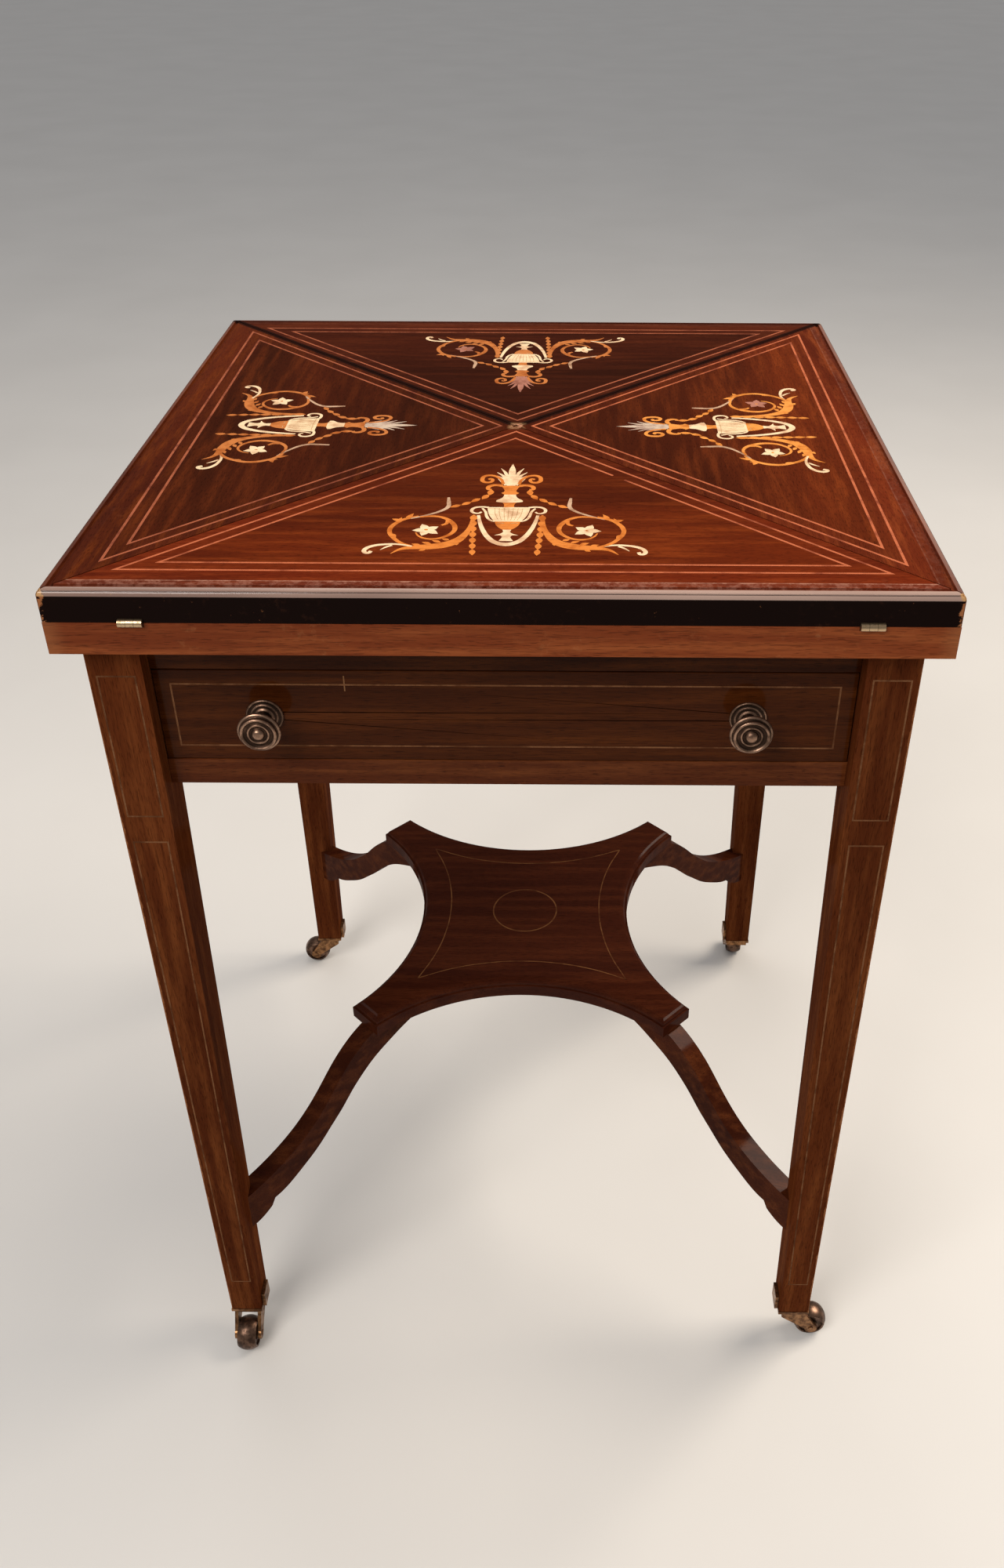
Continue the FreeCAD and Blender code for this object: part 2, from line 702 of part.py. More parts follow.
top_points = [stretcher_point(pair) for pair in stretcher_top_shares]
low_points = [stretcher_point(pair) for pair in stretcher_low_shares]
toe_points = [stretcher_point(pair) for pair in stretcher_toe_shares]
inner_end = Vec(low_points[-1].x, low_points[-1].y, shelf_bottom)
outline = [
    smooth(top_points),
    Part.makeLine(top_points[-1], toe_points[0]),
    smooth(toe_points),
    Part.makeLine(toe_points[-1], low_points[0]),
    smooth(low_points),
    Part.makeLine(low_points[-1], inner_end),
    Part.makeLine(inner_end, top_points[0]),
]
stretcher = Part.Face(Part.Wire(outline)).extrude(Vec(0, stretcher_thickness, 0))
for corner, angle in quarter_turns.items():
    placed = turn(turn(stretcher, 45), angle)
    save("stretcher_" + corner, [placed.cut(legs[corner])])

# Castors, drawn under the origin with the wheel trailing toward plus X
plate_z0 = castor_height - castor_plate_thickness
crown_top = plate_z0 - body_clearance
wheel_half = wheel_width / 2
cheek_in = wheel_half + cheek_gap
cheek_out = cheek_in + cheek_thickness
wheel_centre = Vec(castor_trail, 0, wheel_radius)


def cheek(y0):
    """One side of the fork, from the crown down to the eye on the axle."""
    eye_start = Vec(castor_trail, y0, wheel_radius)
    eye = Part.makeCylinder(cheek_eye_radius, cheek_thickness, eye_start, Vec(0, 1, 0))
    plate = prism([
        Vec(-crown_radius, y0, crown_top),
        Vec(crown_radius, y0, crown_top),
        Vec(castor_trail + cheek_eye_radius, y0, wheel_radius),
        Vec(castor_trail - cheek_eye_radius, y0, wheel_radius),
        Vec(-crown_radius, y0, crown_top - crown_thickness),
    ], Vec(0, cheek_thickness, 0))
    return plate.fuse(eye)


crown = box(
    -crown_radius, -cheek_out, crown_top - crown_thickness, crown_radius, cheek_out, crown_top)
wheel_room = Part.makeCylinder(
    wheel_radius + cheek_gap, cheek_in + cheek_in, Vec(castor_trail, -cheek_in, wheel_radius), Vec(0, 1, 0))
crown = crown.cut(wheel_room)
stem = rod(stem_radius, Vec(0, 0, crown_top - crown_thickness / 2), Vec(0, 0, castor_height + stem_length))
axle_out = cheek_out + axle_end
axle = rod(axle_radius, Vec(castor_trail, -axle_out, wheel_radius), Vec(castor_trail, axle_out, wheel_radius))
axle_hole = rod(
    axle_radius + running_clearance, Vec(castor_trail, -axle_out - cut_overrun, wheel_radius),
    Vec(castor_trail, axle_out + cut_overrun, wheel_radius))
fork = crown.fuse([cheek(cheek_in), cheek(-cheek_out), stem]).removeSplitter().cut(axle_hole)

edge_radius = wheel_radius - wheel_edge_drop
tread = Part.Arc(
    Vec(edge_radius, 0, -wheel_half), Vec(wheel_radius, 0, 0), Vec(edge_radius, 0, wheel_half)).toShape()
dish_z = wheel_half - wheel_dish_depth
bore = axle_radius + running_clearance
flank = Part.makePolygon([
    Vec(edge_radius, 0, wheel_half), Vec(wheel_dish_radius, 0, wheel_half), Vec(wheel_dish_radius, 0, dish_z),
    Vec(wheel_hub_radius, 0, dish_z), Vec(wheel_hub_radius, 0, wheel_half), Vec(bore, 0, wheel_half),
    Vec(bore, 0, -wheel_half), Vec(wheel_hub_radius, 0, -wheel_half), Vec(wheel_hub_radius, 0, -dish_z),
    Vec(wheel_dish_radius, 0, -dish_z), Vec(wheel_dish_radius, 0, -wheel_half),
    Vec(edge_radius, 0, -wheel_half),
])
wheel = Part.Face(Part.Wire([tread] + flank.Edges)).revolve(origin, up, 360)
wheel.rotate(origin, Vec(1, 0, 0), 90)
wheel.translate(wheel_centre)

plate_half = leg_foot_width / 2 + castor_plate_lip
plates = []
for corner, (sign_x, sign_y) in corner_signs.items():
    place = Vec(sign_x * castor_place, sign_y * castor_place, 0)
    for name, shape in (("fork", fork), ("wheel", wheel), ("axle", axle)):
        copy = turn(shape, castor_turns[corner])
        copy.translate(place)
        save("castor_" + name + "_" + corner, [copy])
    plate = box(-plate_half, -plate_half, plate_z0, plate_half, plate_half, castor_height)
    tab_x = leg_foot_width / 2 + castor_tab_gap
    tab = box(
        -sign_x * tab_x, -castor_tab_width / 2, plate_z0, -sign_x * (tab_x + castor_tab_thickness),
        castor_tab_width / 2, castor_height + castor_tab_height)
    hole = rod(
        stem_radius + body_clearance, Vec(0, 0, plate_z0 - cut_overrun),
        Vec(0, 0, castor_height + cut_overrun))
    plate = plate.fuse(tab).removeSplitter().cut(hole)
    plate.translate(place)
    plates.append(plate)
save("castor_plates", plates)
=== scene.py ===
# %% [markdown]
# # An envelope card table
# The table is a square top of four hinged triangles over a swivelling bed, on a frame with a drawer,
# tapering legs, a hollow-sided undertier and castors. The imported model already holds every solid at
# its real size, so this lesson is about finish: veneer, line inlay, marquetry, baize, brass and the
# light to see them by.

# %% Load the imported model
import math

import bmesh
import bpy
from mathutils import Matrix, Vector


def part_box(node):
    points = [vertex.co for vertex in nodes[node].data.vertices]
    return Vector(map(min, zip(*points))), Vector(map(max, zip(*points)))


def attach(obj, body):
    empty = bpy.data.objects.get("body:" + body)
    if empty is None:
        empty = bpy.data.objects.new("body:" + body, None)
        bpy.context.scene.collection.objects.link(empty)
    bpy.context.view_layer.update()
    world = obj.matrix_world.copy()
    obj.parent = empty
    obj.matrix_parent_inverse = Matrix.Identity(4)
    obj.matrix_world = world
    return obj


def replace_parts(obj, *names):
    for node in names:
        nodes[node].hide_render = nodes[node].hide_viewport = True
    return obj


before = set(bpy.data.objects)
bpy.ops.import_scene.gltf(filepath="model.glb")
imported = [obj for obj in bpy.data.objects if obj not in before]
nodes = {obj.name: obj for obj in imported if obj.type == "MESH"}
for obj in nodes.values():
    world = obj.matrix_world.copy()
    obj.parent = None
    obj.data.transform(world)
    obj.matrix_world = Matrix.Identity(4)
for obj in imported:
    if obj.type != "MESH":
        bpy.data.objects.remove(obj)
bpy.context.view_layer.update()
mm = 0.001

# %% Read the main places from the solids
leaf_low, leaf_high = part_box("leaf_front")
half_top = -leaf_low.y
top_z = leaf_high.z
leaf_bottom = leaf_low.z
bed_low, bed_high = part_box("bed")
leg_low, leg_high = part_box("leg_back_right")
leg_out = leg_high.x
rail_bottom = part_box("rail_right")[0].z
shelf_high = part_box("undertier_shelf")[1]
drawer_low, drawer_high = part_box("drawer_front")
side_turns = {"front": 0.0, "right": 90.0, "back": 180.0, "left": 270.0}
corner_signs = {
    "front_left": (-1, -1), "front_right": (1, -1), "back_left": (-1, 1), "back_right": (1, 1),
}
print("top", round(2 * half_top, 4), "m square at", round(top_z, 4), "m")

# %% [markdown]
# ## Camera, floor and light
# The photograph looks down at the front from a standing person's height. Its lens, place and tilt
# were worked out from the square top and the legs, so the camera is set by numbers. A small shift
# stands for the picture's crop. The floor is a wide pale disc, and the light is an even sky with
# three large soft lamps. Camera and mirror rays see a greyer sky, which meets the floor softly and
# doesn't veil the polished top. The lamps hang high, so that none of them glares off the top in a low
# view.

# %% Camera
photo_width, photo_height = 1281, 2000
focal_pixels = 1694.6
axis_pixel = (721.75, 952.63)
eye = Vector((38.14, -944.2, 1100.1)) * mm
yaw, pitch, roll = 0.001, 0.591, 0.005


def add_object(name, data):
    """New object in the scene."""
    made = bpy.data.objects.new(name, data)
    bpy.context.scene.collection.objects.link(made)
    return made


camera = add_object("camera", bpy.data.cameras.new("camera"))
camera.data.sensor_width = 36.0
camera.data.lens = focal_pixels / photo_height * camera.data.sensor_width
camera.data.shift_x = (photo_width / 2 - axis_pixel[0]) / photo_height
camera.data.shift_y = (axis_pixel[1] - photo_height / 2) / photo_height
level_ahead = Vector((-math.sin(yaw), math.cos(yaw), 0))
forward = math.cos(pitch) * level_ahead - Vector((0, 0, math.sin(pitch)))
level_right = Vector((math.cos(yaw), math.sin(yaw), 0))
level_up = level_right.cross(forward)
right = math.cos(roll) * level_right + math.sin(roll) * level_up
above = math.cos(roll) * level_up - math.sin(roll) * level_right
camera.matrix_world = Matrix.Translation(eye) @ Matrix((right, above, -forward)).transposed().to_4x4()
bpy.context.scene.camera = camera
bpy.context.scene.view_settings.view_transform = "Standard"
print("camera lens", round(camera.data.lens, 2), "mm")


# %% Node helpers
def srgb(code):
    """Linear colour from a six-digit colour code."""
    shares = [int(code[place:place + 2], 16) / 255 for place in (0, 2, 4)]
    linear = [share / 12.92 if share <= 0.04045 else ((share + 0.055) / 1.055) ** 2.4 for share in shares]
    return linear + [1.0]


def feed(sockets, values):
    """Link inputs to other sockets, or set them to numbers or colour codes, by name or place."""
    for name, value in values.items():
        if isinstance(value, bpy.types.NodeSocket):
            value.id_data.links.new(value, sockets[name])
        else:
            sockets[name].default_value = srgb(value) if isinstance(value, str) else value


def add_node(tree, kind, values, **settings):
    """Outputs of a new shader node with its settings and inputs."""
    made = tree.nodes.new("ShaderNode" + kind)
    for name, setting in settings.items():
        setattr(made, name, setting)
    feed(made.inputs, values)
    return made.outputs


def tree_of(values):
    """The node tree that the first socket among some values belongs to."""
    return next(value.id_data for value in values if isinstance(value, bpy.types.NodeSocket))


def calc(operation, first, second=0.0, third=0.0):
    """Result of one Math node on sockets or numbers."""
    numbers = (first, second, third)
    return add_node(tree_of(numbers), "Math", dict(enumerate(numbers)), operation=operation)[0]


def times(first, second):
    """Product of two values."""
    return calc("MULTIPLY", first, second)


def ramp(value, low, high, to_low=0.0, to_high=1.0):
    """Smooth step of a value between two limits."""
    limits = {"Value": value, "From Min": low, "From Max": high, "To Min": to_low, "To Max": to_high}
    return add_node(value.id_data, "MapRange", limits, interpolation_type="SMOOTHSTEP")["Result"]


def mix(share, first, second, mode="MIX"):
    """Mix of two colours by a share: inputs 0, 6 and 7 and output 2 of a colour mix."""
    tree = tree_of((share, first, second))
    return add_node(tree, "Mix", {0: share, 6: first, 7: second}, data_type="RGBA", blend_type=mode)[2]


print("node helpers ready")


# %% Pattern helpers
def coordinates(tree):
    """The object's own coordinates."""
    return add_node(tree, "TexCoord", {})["Object"]


def axes_of(vector):
    """The X, Y and Z of a vector."""
    return add_node(vector.id_data, "SeparateXYZ", {"Vector": vector})


def noise(vector, scale, detail, roughness=0.5, distortion=0.0):
    """Clouds between zero and one; the scale is a number or a socket."""
    return add_node(vector.id_data, "TexNoise", {
        "Vector": vector, "Scale": scale, "Detail": detail, "Roughness": roughness,
        "Distortion": distortion})["Fac"]


def grain_vector(tree, along, stretch=0.07, turn_z=0.0, shift=(0.0, 0.0, 0.0)):
    """Object coordinates drawn out along one axis, so that noise becomes grain."""
    scale = [1.0, 1.0, 1.0]
    scale["xyz".index(along)] = stretch
    return add_node(tree, "Mapping", {
        "Vector": coordinates(tree), "Scale": scale, "Rotation": (0.0, 0.0, turn_z),
        "Location": shift})["Vector"]


def bump(shader, height, strength, distance=0.2 * mm):
    """Bump from a height on the shader's normal."""
    relief = {"Strength": strength, "Distance": distance, "Height": height}
    feed(shader.inputs, {"Normal": add_node(height.id_data, "Bump", relief)["Normal"]})


print("pattern helpers ready")


# %% Material and group helpers
def new_finish(name):
    """Empty material with a Principled shader."""
    material = bpy.data.materials.new(name)
    material.use_nodes = True
    tree = material.node_tree
    return material, tree, tree.nodes["Principled BSDF"]


def new_group(name, inputs, outputs):
    """Shader node group with named sockets; each input has a kind and a default."""
    tree = bpy.data.node_groups.new(name, "ShaderNodeTree")
    for socket, (kind, value) in inputs.items():
        made = tree.interface.new_socket(socket, in_out="INPUT", socket_type="NodeSocket" + kind)
        if value is not None:
            made.default_value = srgb(value) if kind == "Color" else value
    for socket, kind in outputs.items():
        tree.interface.new_socket(socket, in_out="OUTPUT", socket_type="NodeSocket" + kind)
    return tree, tree.nodes.new("NodeGroupInput").outputs, tree.nodes.new("NodeGroupOutput").inputs


def place_group(group, values):
    """Outputs of a group that is placed in a material with its own values."""
    return add_node(tree_of(values.values()), "Group", values, node_tree=group)


print("material and group helpers ready")

# %% Floor and light
floor_radius = 30.0
floor_material, floor_tree, floor_shader = new_finish("pale_floor")
floor_clouds = noise(coordinates(floor_tree), 3.0, 3.0)
floor_colour = mix(floor_clouds, "c9c5bf", "d3cfc9")
feed(floor_shader.inputs, {"Base Color": floor_colour, "Roughness": 0.65})
floor_work = bmesh.new()
bmesh.ops.create_circle(floor_work, cap_ends=True, segments=64, radius=floor_radius)
floor_data = bpy.data.meshes.new("floor")
floor_work.to_mesh(floor_data)
floor_work.free()
floor_data.materials.append(floor_material)
floor = add_object("floor", floor_data)

lighting_sky = (0.93, 0.95, 1.0, 1.0)
seen_sky = (0.36, 0.345, 0.33, 1.0)
world = bpy.data.worlds.new("soft_sky")
world.use_nodes = True
ray = add_node(world.node_tree, "LightPath", {})
seen = calc("MAXIMUM", ray["Is Camera Ray"], ray["Is Glossy Ray"])
seen = calc("MAXIMUM", seen, ray["Is Transmission Ray"])
sky_colour = mix(seen, lighting_sky, seen_sky)
feed(world.node_tree.nodes["Background"].inputs, {"Color": sky_colour, "Strength": 0.5})
bpy.context.scene.world = world


def soft_lamp(name, place, aim, size, power, colour):
    """Large square lamp pointed at a spot."""
    data = bpy.data.lights.new(name, "AREA")
    data.size = size
    data.energy = power
    data.color = colour
    lamp = add_object(name, data)
    lamp.location = place
    lamp.rotation_euler = (Vector(aim) - Vector(place)).to_track_quat("-Z", "Y").to_euler()


soft_lamp("window", (1.8, 0.55, 2.25), (0.0, 0.0, 0.5), 1.4, 68.0, (1.0, 0.9, 0.78))
soft_lamp("front_fill", (-1.3, -1.9, 2.6), (0.0, 0.0, 0.45), 1.5, 62.0, (1.0, 0.96, 0.92))
soft_lamp("overhead", (-0.4, 0.9, 2.6), (0.0, 0.0, 0.7), 1.2, 9.0, (1.0, 0.95, 0.9))
print("floor, sky and three lamps")

# %% [markdown]
# ## Wood
# Old cabinet woods share one build: a broad figure of light and dark, finer bands and fibres inside
# it, and short dark pores, all drawn out along the grain under a coat of polish. One node group makes
# these from a stretched coordinate and gives back the colour, the pores for the bump and the figure
# for the painted sheen on a leaf's moulding nose. Each wood then has its own colours and grain
# direction. An image would tie the part to one photograph, so nodes are used.

# %% Grain group
grain, given, result = new_group(
    "cabinet_grain",
    {"Vector": ("Vector", None), "Dark": ("Color", "2a120b"), "Mid": ("Color", "4a2414"),
     "Light": ("Color", "7a4326"), "Figure Scale": ("Float", 9.0), "Pore Scale": ("Float", 1900.0),
     "Pore Depth": ("Float", 0.5)},
    {"Color": "Color", "Pores": "Float", "Figure": "Float"})
spot, figure_scale = given["Vector"], given["Figure Scale"]
bands_to_figure, fibres_to_figure = 13.0, 75.0
pore_shade = (0.22, 0.18, 0.18, 1.0)
figure = ramp(noise(spot, figure_scale, 3.0, 0.55, 0.5), 0.3, 0.7)
bands = ramp(noise(spot, times(figure_scale, bands_to_figure), 3.0), 0.4, 0.72, 0.0, 0.55)
fibres = ramp(noise(spot, times(figure_scale, fibres_to_figure), 2.0, 0.6), 0.42, 0.7, 0.0, 0.4)
pores = ramp(noise(spot, given["Pore Scale"], 1.0), 0.57, 0.66)
base = mix(figure, given["Dark"], given["Mid"])
lit = mix(bands, base, given["Light"])
combed = mix(fibres, lit, given["Dark"])
pored = mix(times(pores, given["Pore Depth"]), combed, pore_shade, "MULTIPLY")
feed(result, {"Color": pored, "Pores": pores, "Figure": figure})
print("grain group with", len(grain.nodes), "nodes")

# %% Polish wear group
wear, given, result = new_group(
    "polish_wear",
    {"Vector": ("Vector", None), "Color": ("Color", None), "Rubbed": ("Color", "8a5a38"),
     "Amount": ("Float", 0.25), "Smooth": ("Float", 0.22), "Dull": ("Float", 0.45)},
    {"Color": "Color", "Roughness": "Float", "Scuffs": "Float"})
clouds = ramp(noise(given["Vector"], 14.0, 5.0, 0.65), 0.45, 0.72)
scuffs = times(ramp(noise(given["Vector"], 160.0, 4.0, 0.7), 0.55, 0.72), clouds)
rubbed = mix(times(scuffs, given["Amount"]), given["Color"], given["Rubbed"])
spread = calc("SUBTRACT", given["Dull"], given["Smooth"])
dulled = calc("MULTIPLY_ADD", calc("MAXIMUM", clouds, scuffs), spread, given["Smooth"])
feed(result, {"Color": rubbed, "Roughness": dulled, "Scuffs": scuffs})
print("wear group with", len(wear.nodes), "nodes")


# %% Wood finish
def polish(shader, colour, rough, coat):
    """Colour and roughness of a wood, and the clear polish over it."""
    feed(shader.inputs, {
        "Base Color": colour, "Roughness": rough, "Coat Weight": coat, "Coat Roughness": 0.1,
        "Specular IOR Level": 0.0})


def grain_of(vector, codes, scale=9.0):
    """Grain group with a wood's dark, middle and light colours."""
    return place_group(grain, {
        "Vector": vector, "Dark": codes[0], "Mid": codes[1], "Light": codes[2], "Figure Scale": scale})


def wood_finish(name, along, codes, stretch=0.07, turn_z=0.0, shift=(0.0, 0.0, 0.0), coat=0.11,
                smooth=0.26):
    """Polished wood with its grain along one axis."""
    material, tree, shader = new_finish(name)
    wood = grain_of(grain_vector(tree, along, stretch, turn_z, shift), codes)
    worn = place_group(wear, {
        "Vector": coordinates(tree), "Color": wood["Color"], "Rubbed": codes[2], "Amount": 0.2,
        "Smooth": smooth})
    polish(shader, worn["Color"], worn["Roughness"], coat)
    bump(shader, times(wood["Pores"], -1.0), 0.25)
    return material


print("wood finish ready")


# %% Wear of the legs and the drawer
def lay_over(tree, share, code):
    """Lay one more colour over the colour of a finished material."""
    base_colour = tree.nodes["Principled BSDF"].inputs["Base Color"]
    tree.links.new(mix(share, base_colour.links[0].from_socket, code), base_colour)


def rub_arris(material, reach):
    """Rub the polish off the outer arrises of the legs, more in some places than in others."""
    plain = coordinates(material.node_tree)
    axes = axes_of(plain)
    distances = [calc("SUBTRACT", reach, calc("ABSOLUTE", axes[axis])) for axis in "XY"]
    limit = ramp(noise(plain, 45.0, 6.0, 0.7), 0.4, 0.75, 0.1 * mm, 1.6 * mm)
    past_limit = calc("SUBTRACT", calc("ADD", *distances), limit)
    lay_over(material.node_tree, ramp(past_limit, 0.0, 0.5 * mm, 0.75, 0.0), "8a5836")
    return material


def scratch(material, side, low, high):
    """One pale upright scratch in the polish of the drawer's face."""
    axes = axes_of(coordinates(material.node_tree))
    line = calc("COMPARE", axes["X"], side, 0.4 * mm)
    length = calc("COMPARE", axes["Z"], (low + high) / 2, (high - low) / 2)
    lay_over(material.node_tree, times(times(line, length), 0.6), "8d6543")
    return material


print("rubbed arrises and a scratch ready")

# %% Plain polished woods
mahogany = ("3a180a", "592b13", "74401f")
drawer_mahogany = ("280f04", "3d1b08", "53290d")
dark_mahogany = ("2a0f07", "421d0d", "5a2e16")
shelf_wood = ("30130a", "3d1a0d", "4c2412")
pale_inside = ("6b4a2c", "9a7148", "b98f60")


def dress(node_names, material):
    """Give CAD pieces their finish."""
    for name in node_names:
        piece = nodes[name]
        piece.data.materials.clear()
        piece.data.materials.append(material)


leg_mahogany = wood_finish("leg_mahogany", "z", mahogany, shift=(0.3, 0.1, 0.0), coat=0.015)
dress(["leg_" + corner for corner in corner_signs], rub_arris(leg_mahogany, leg_out))
dress(["rail_left", "rail_right"], wood_finish("side_rail_mahogany", "y", drawer_mahogany))
dress(["rail_back", "rail_front_top"], wood_finish("cross_rail_mahogany", "x", drawer_mahogany))
dress(["rail_front_low"], wood_finish("low_rail_mahogany", "x", mahogany, shift=(0.4, 0.0, 0.6)))
drawer_face = wood_finish(
    "drawer_face_mahogany", "x", drawer_mahogany, stretch=0.05, shift=(0.7, 0.0, 0.2))
scratch_side = -100.1 * mm
scratch_low, scratch_high = 668.0 * mm, 679.0 * mm
dress(["drawer_front"], scratch(drawer_face, scratch_side, scratch_low, scratch_high))
dress(["undertier_shelf"], wood_finish("shelf_mahogany", "x", shelf_wood, coat=0.12, smooth=0.22))
for corner, (sign_x, sign_y) in corner_signs.items():
    across = math.radians(-45.0 * sign_x * sign_y)
    dress(["stretcher_" + corner], wood_finish(
        "stretcher_mahogany_" + corner, "x", dark_mahogany, turn_z=across, coat=0.1))
dress(["drawer_runners", "drawer_kickers", "drawer_side_left", "drawer_side_right"],
      wood_finish("inside_oak_long", "y", pale_inside, coat=0.0, smooth=0.55))
dress(["pivot_bearer", "drawer_back", "drawer_bottom"],
      wood_finish("inside_oak_cross", "x", pale_inside, coat=0.0, smooth=0.55))
dress(["stop_peg"], wood_finish("peg_beech", "z", pale_inside, coat=0.0, smooth=0.55))
print("plain woods on the frame and drawer")

# %% [markdown]
# ## Soft arrises
# Nothing made by hand has a knife edge: the corners of legs, rails, bed and drawer are eased with
# sandpaper and then by a century of hands. A Bevel modifier eases them by a fraction of a millimetre
# and leaves the solid's own mesh alone. The solids come as loose triangles, so a Weld modifier joins
# these first.

# %% Eased edges
eased = ["leg_" + corner for corner in corner_signs]
eased += ["rail_" + place for place in ("left", "right", "back", "front_top", "front_low")]
eased += ["drawer_front", "bed"]
ease_width = 0.45 * mm
sharp_angle = math.radians(50.0)
for name in eased:
    weld = nodes[name].modifiers.new("weld", "WELD")
    weld.merge_threshold = 0.01 * mm
    ease = nodes[name].modifiers.new("ease", "BEVEL")
    ease.width = ease_width
    ease.segments = 2
    ease.limit_method = "ANGLE"
    ease.angle_limit = sharp_angle
print("eased the edges of", len(eased), "pieces by", ease_width, "m")

# %% [markdown]
# ## The leaves
# Each leaf is veneered in rosewood, with the grain along its outer edge, a redder border outside the
# inlaid lines, a dark reeded moulding and a flat band of black on the edge itself. All of these lie
# at set distances from the edge of the square and from the diagonal seams, so the finish works those
# distances out from the object's own coordinates and picks the wood by them. That keeps the borders
# exact without cutting the solid.

# %% Distances from the edge and the seam
places, given, result = new_group(
    "top_distances", {"Vector": ("Vector", None)},
    {"Edge": "Float", "Seam": "Float", "Corner": "Float", "Height": "Float"})
axes = axes_of(given["Vector"])
size_x, size_y = [calc("ABSOLUTE", axes[axis]) for axis in "XY"]
larger = calc("MAXIMUM", size_x, size_y)
smaller = calc("MINIMUM", size_x, size_y)
feed(result, {
    "Edge": calc("SUBTRACT", half_top, larger),
    "Seam": calc("DIVIDE", calc("SUBTRACT", larger, smaller), math.sqrt(2)),
    "Corner": calc("SUBTRACT", half_top, smaller), "Height": axes["Z"]})

# Places of the leaf's borders, in from the edge and in from the seam
outer_line_in = 26.0 * mm
inner_line_in = 36.0 * mm
outer_line_seam = 7.3 * mm
inner_line_seam = 16.9 * mm
moulding_width = 13.3 * mm
bead_width = 4.5 * mm
reed_groove = 1.25 * mm
# Width of the painted shade along the rear seams
seam_shade_width = 3.2 * mm
band_top = 747.0 * mm
soft_edge = 0.15 * mm
print("top distances group; outer line", outer_line_in, "inner line", inner_line_in)

# %% Colours on a leaf
tint = {
    # The pale nose, scuff and fillet colours are partly wear and partly painted highlight
    "middle": "220c05", "moulding": "2a120c", "dark_nose": "745b51", "pale_nose": "ac9082",
    # The dirt colour is a painted shade for the shadowed gap along the rear seams
    "groove": "352622", "scuff_and_highlight": "9a6a58", "fillet": "a0735f", "black": "150d0b", "dirt": "130806",
    "bare": "b48a5c", "bare_band": "8f5a38", "bare_tip": "b07a62", "rubbed": "70422c",
}
leaf_under = ("34140b", "5d2a16", "7f4324")


def below(value, limit, soft=soft_edge):
    """One where a value is under a limit, zero where it is over."""
    return ramp(value, limit - soft, limit + soft, 1.0, 0.0)


print("a leaf takes", len(tint), "more colours than its veneers")


# %% Moulding and bare wood
def moulding_over(colour, edge, chips, border, nose_highlight):
    """Colour with a leaf's moulding on it, and the mask of the moulding's nose."""
    in_moulding = below(edge, moulding_width)
    colour = mix(times(in_moulding, 0.12), colour, tint["moulding"])
    # The nose's pale colour is partly its own worn finish and partly a painted reflection of the light,
    # strongest on the front leaf
    nose = mix(border["Figure"], tint["dark_nose"], tint["pale_nose"])
    nose = mix(nose_highlight, border["Color"], nose)
    # Painted shade: a dark line along the nose stands in for the groove between its two reeds, which the
    # solid doesn't have
    nose = mix(calc("COMPARE", edge, reed_groove, 0.3 * mm), nose, tint["groove"])
    in_nose = below(edge, bead_width)
    colour = mix(in_nose, colour, nose)
    # The scuffed band and the pale line on the fillet are partly wear and partly painted highlight, so
    # they too are strongest on the front leaf
    wear_and_highlight_strength = nose_highlight ** 2
    wear_and_highlight_share = times(in_moulding, ramp(chips, 0.42, 0.62, 0.05 * wear_and_highlight_strength, 0.4 * wear_and_highlight_strength))
    wear_and_highlight_share = times(wear_and_highlight_share, ramp(edge, 4.0 * mm, 5.0 * mm))
    colour = mix(wear_and_highlight_share, colour, tint["scuff_and_highlight"])
    fillet = calc("COMPARE", edge, moulding_width, 0.5 * mm)
    fillet_wear_and_highlight = times(fillet, ramp(chips, 0.4, 0.62, 0.3 * wear_and_highlight_strength, 0.8 * wear_and_highlight_strength))
    return mix(fillet_wear_and_highlight, colour, tint["fillet"]), in_nose


def bare_wood_over(colour, where, chips, on_band):
    """Colour with bare wood at a leaf's corners, nose and tip, and the mask of the bare wood."""
    edge = where["Edge"]
    near_corner = ramp(where["Corner"], 0.0, 7.0 * mm, 1.0, 0.0)
    rub_limit = calc("MULTIPLY_ADD", near_corner, 0.27, ramp(edge, 0.0, 5.0 * mm, 0.0, -0.25))
    nose_limit = times(near_corner, calc("SUBTRACT", 1.0, on_band))
    rub_limit = calc("MULTIPLY_ADD", nose_limit, 0.25, rub_limit)
    rubbing = ramp(calc("ADD", chips, rub_limit), 0.68, 0.74)
    rubbing = times(rubbing, below(edge, 6.0 * mm, 2.0 * mm))
    tip = ramp(edge, half_top - 8.0 * mm, half_top - 1.0 * mm)
    tip = times(tip, ramp(chips, 0.42, 0.56))
    rubbing = calc("MAXIMUM", rubbing, tip)
    bare_wood = mix(on_band, tint["bare"], tint["bare_band"])
    bare_wood = mix(tip, bare_wood, tint["bare_tip"])
    return mix(rubbing, colour, bare_wood), rubbing


print("moulding and bare wood ready")


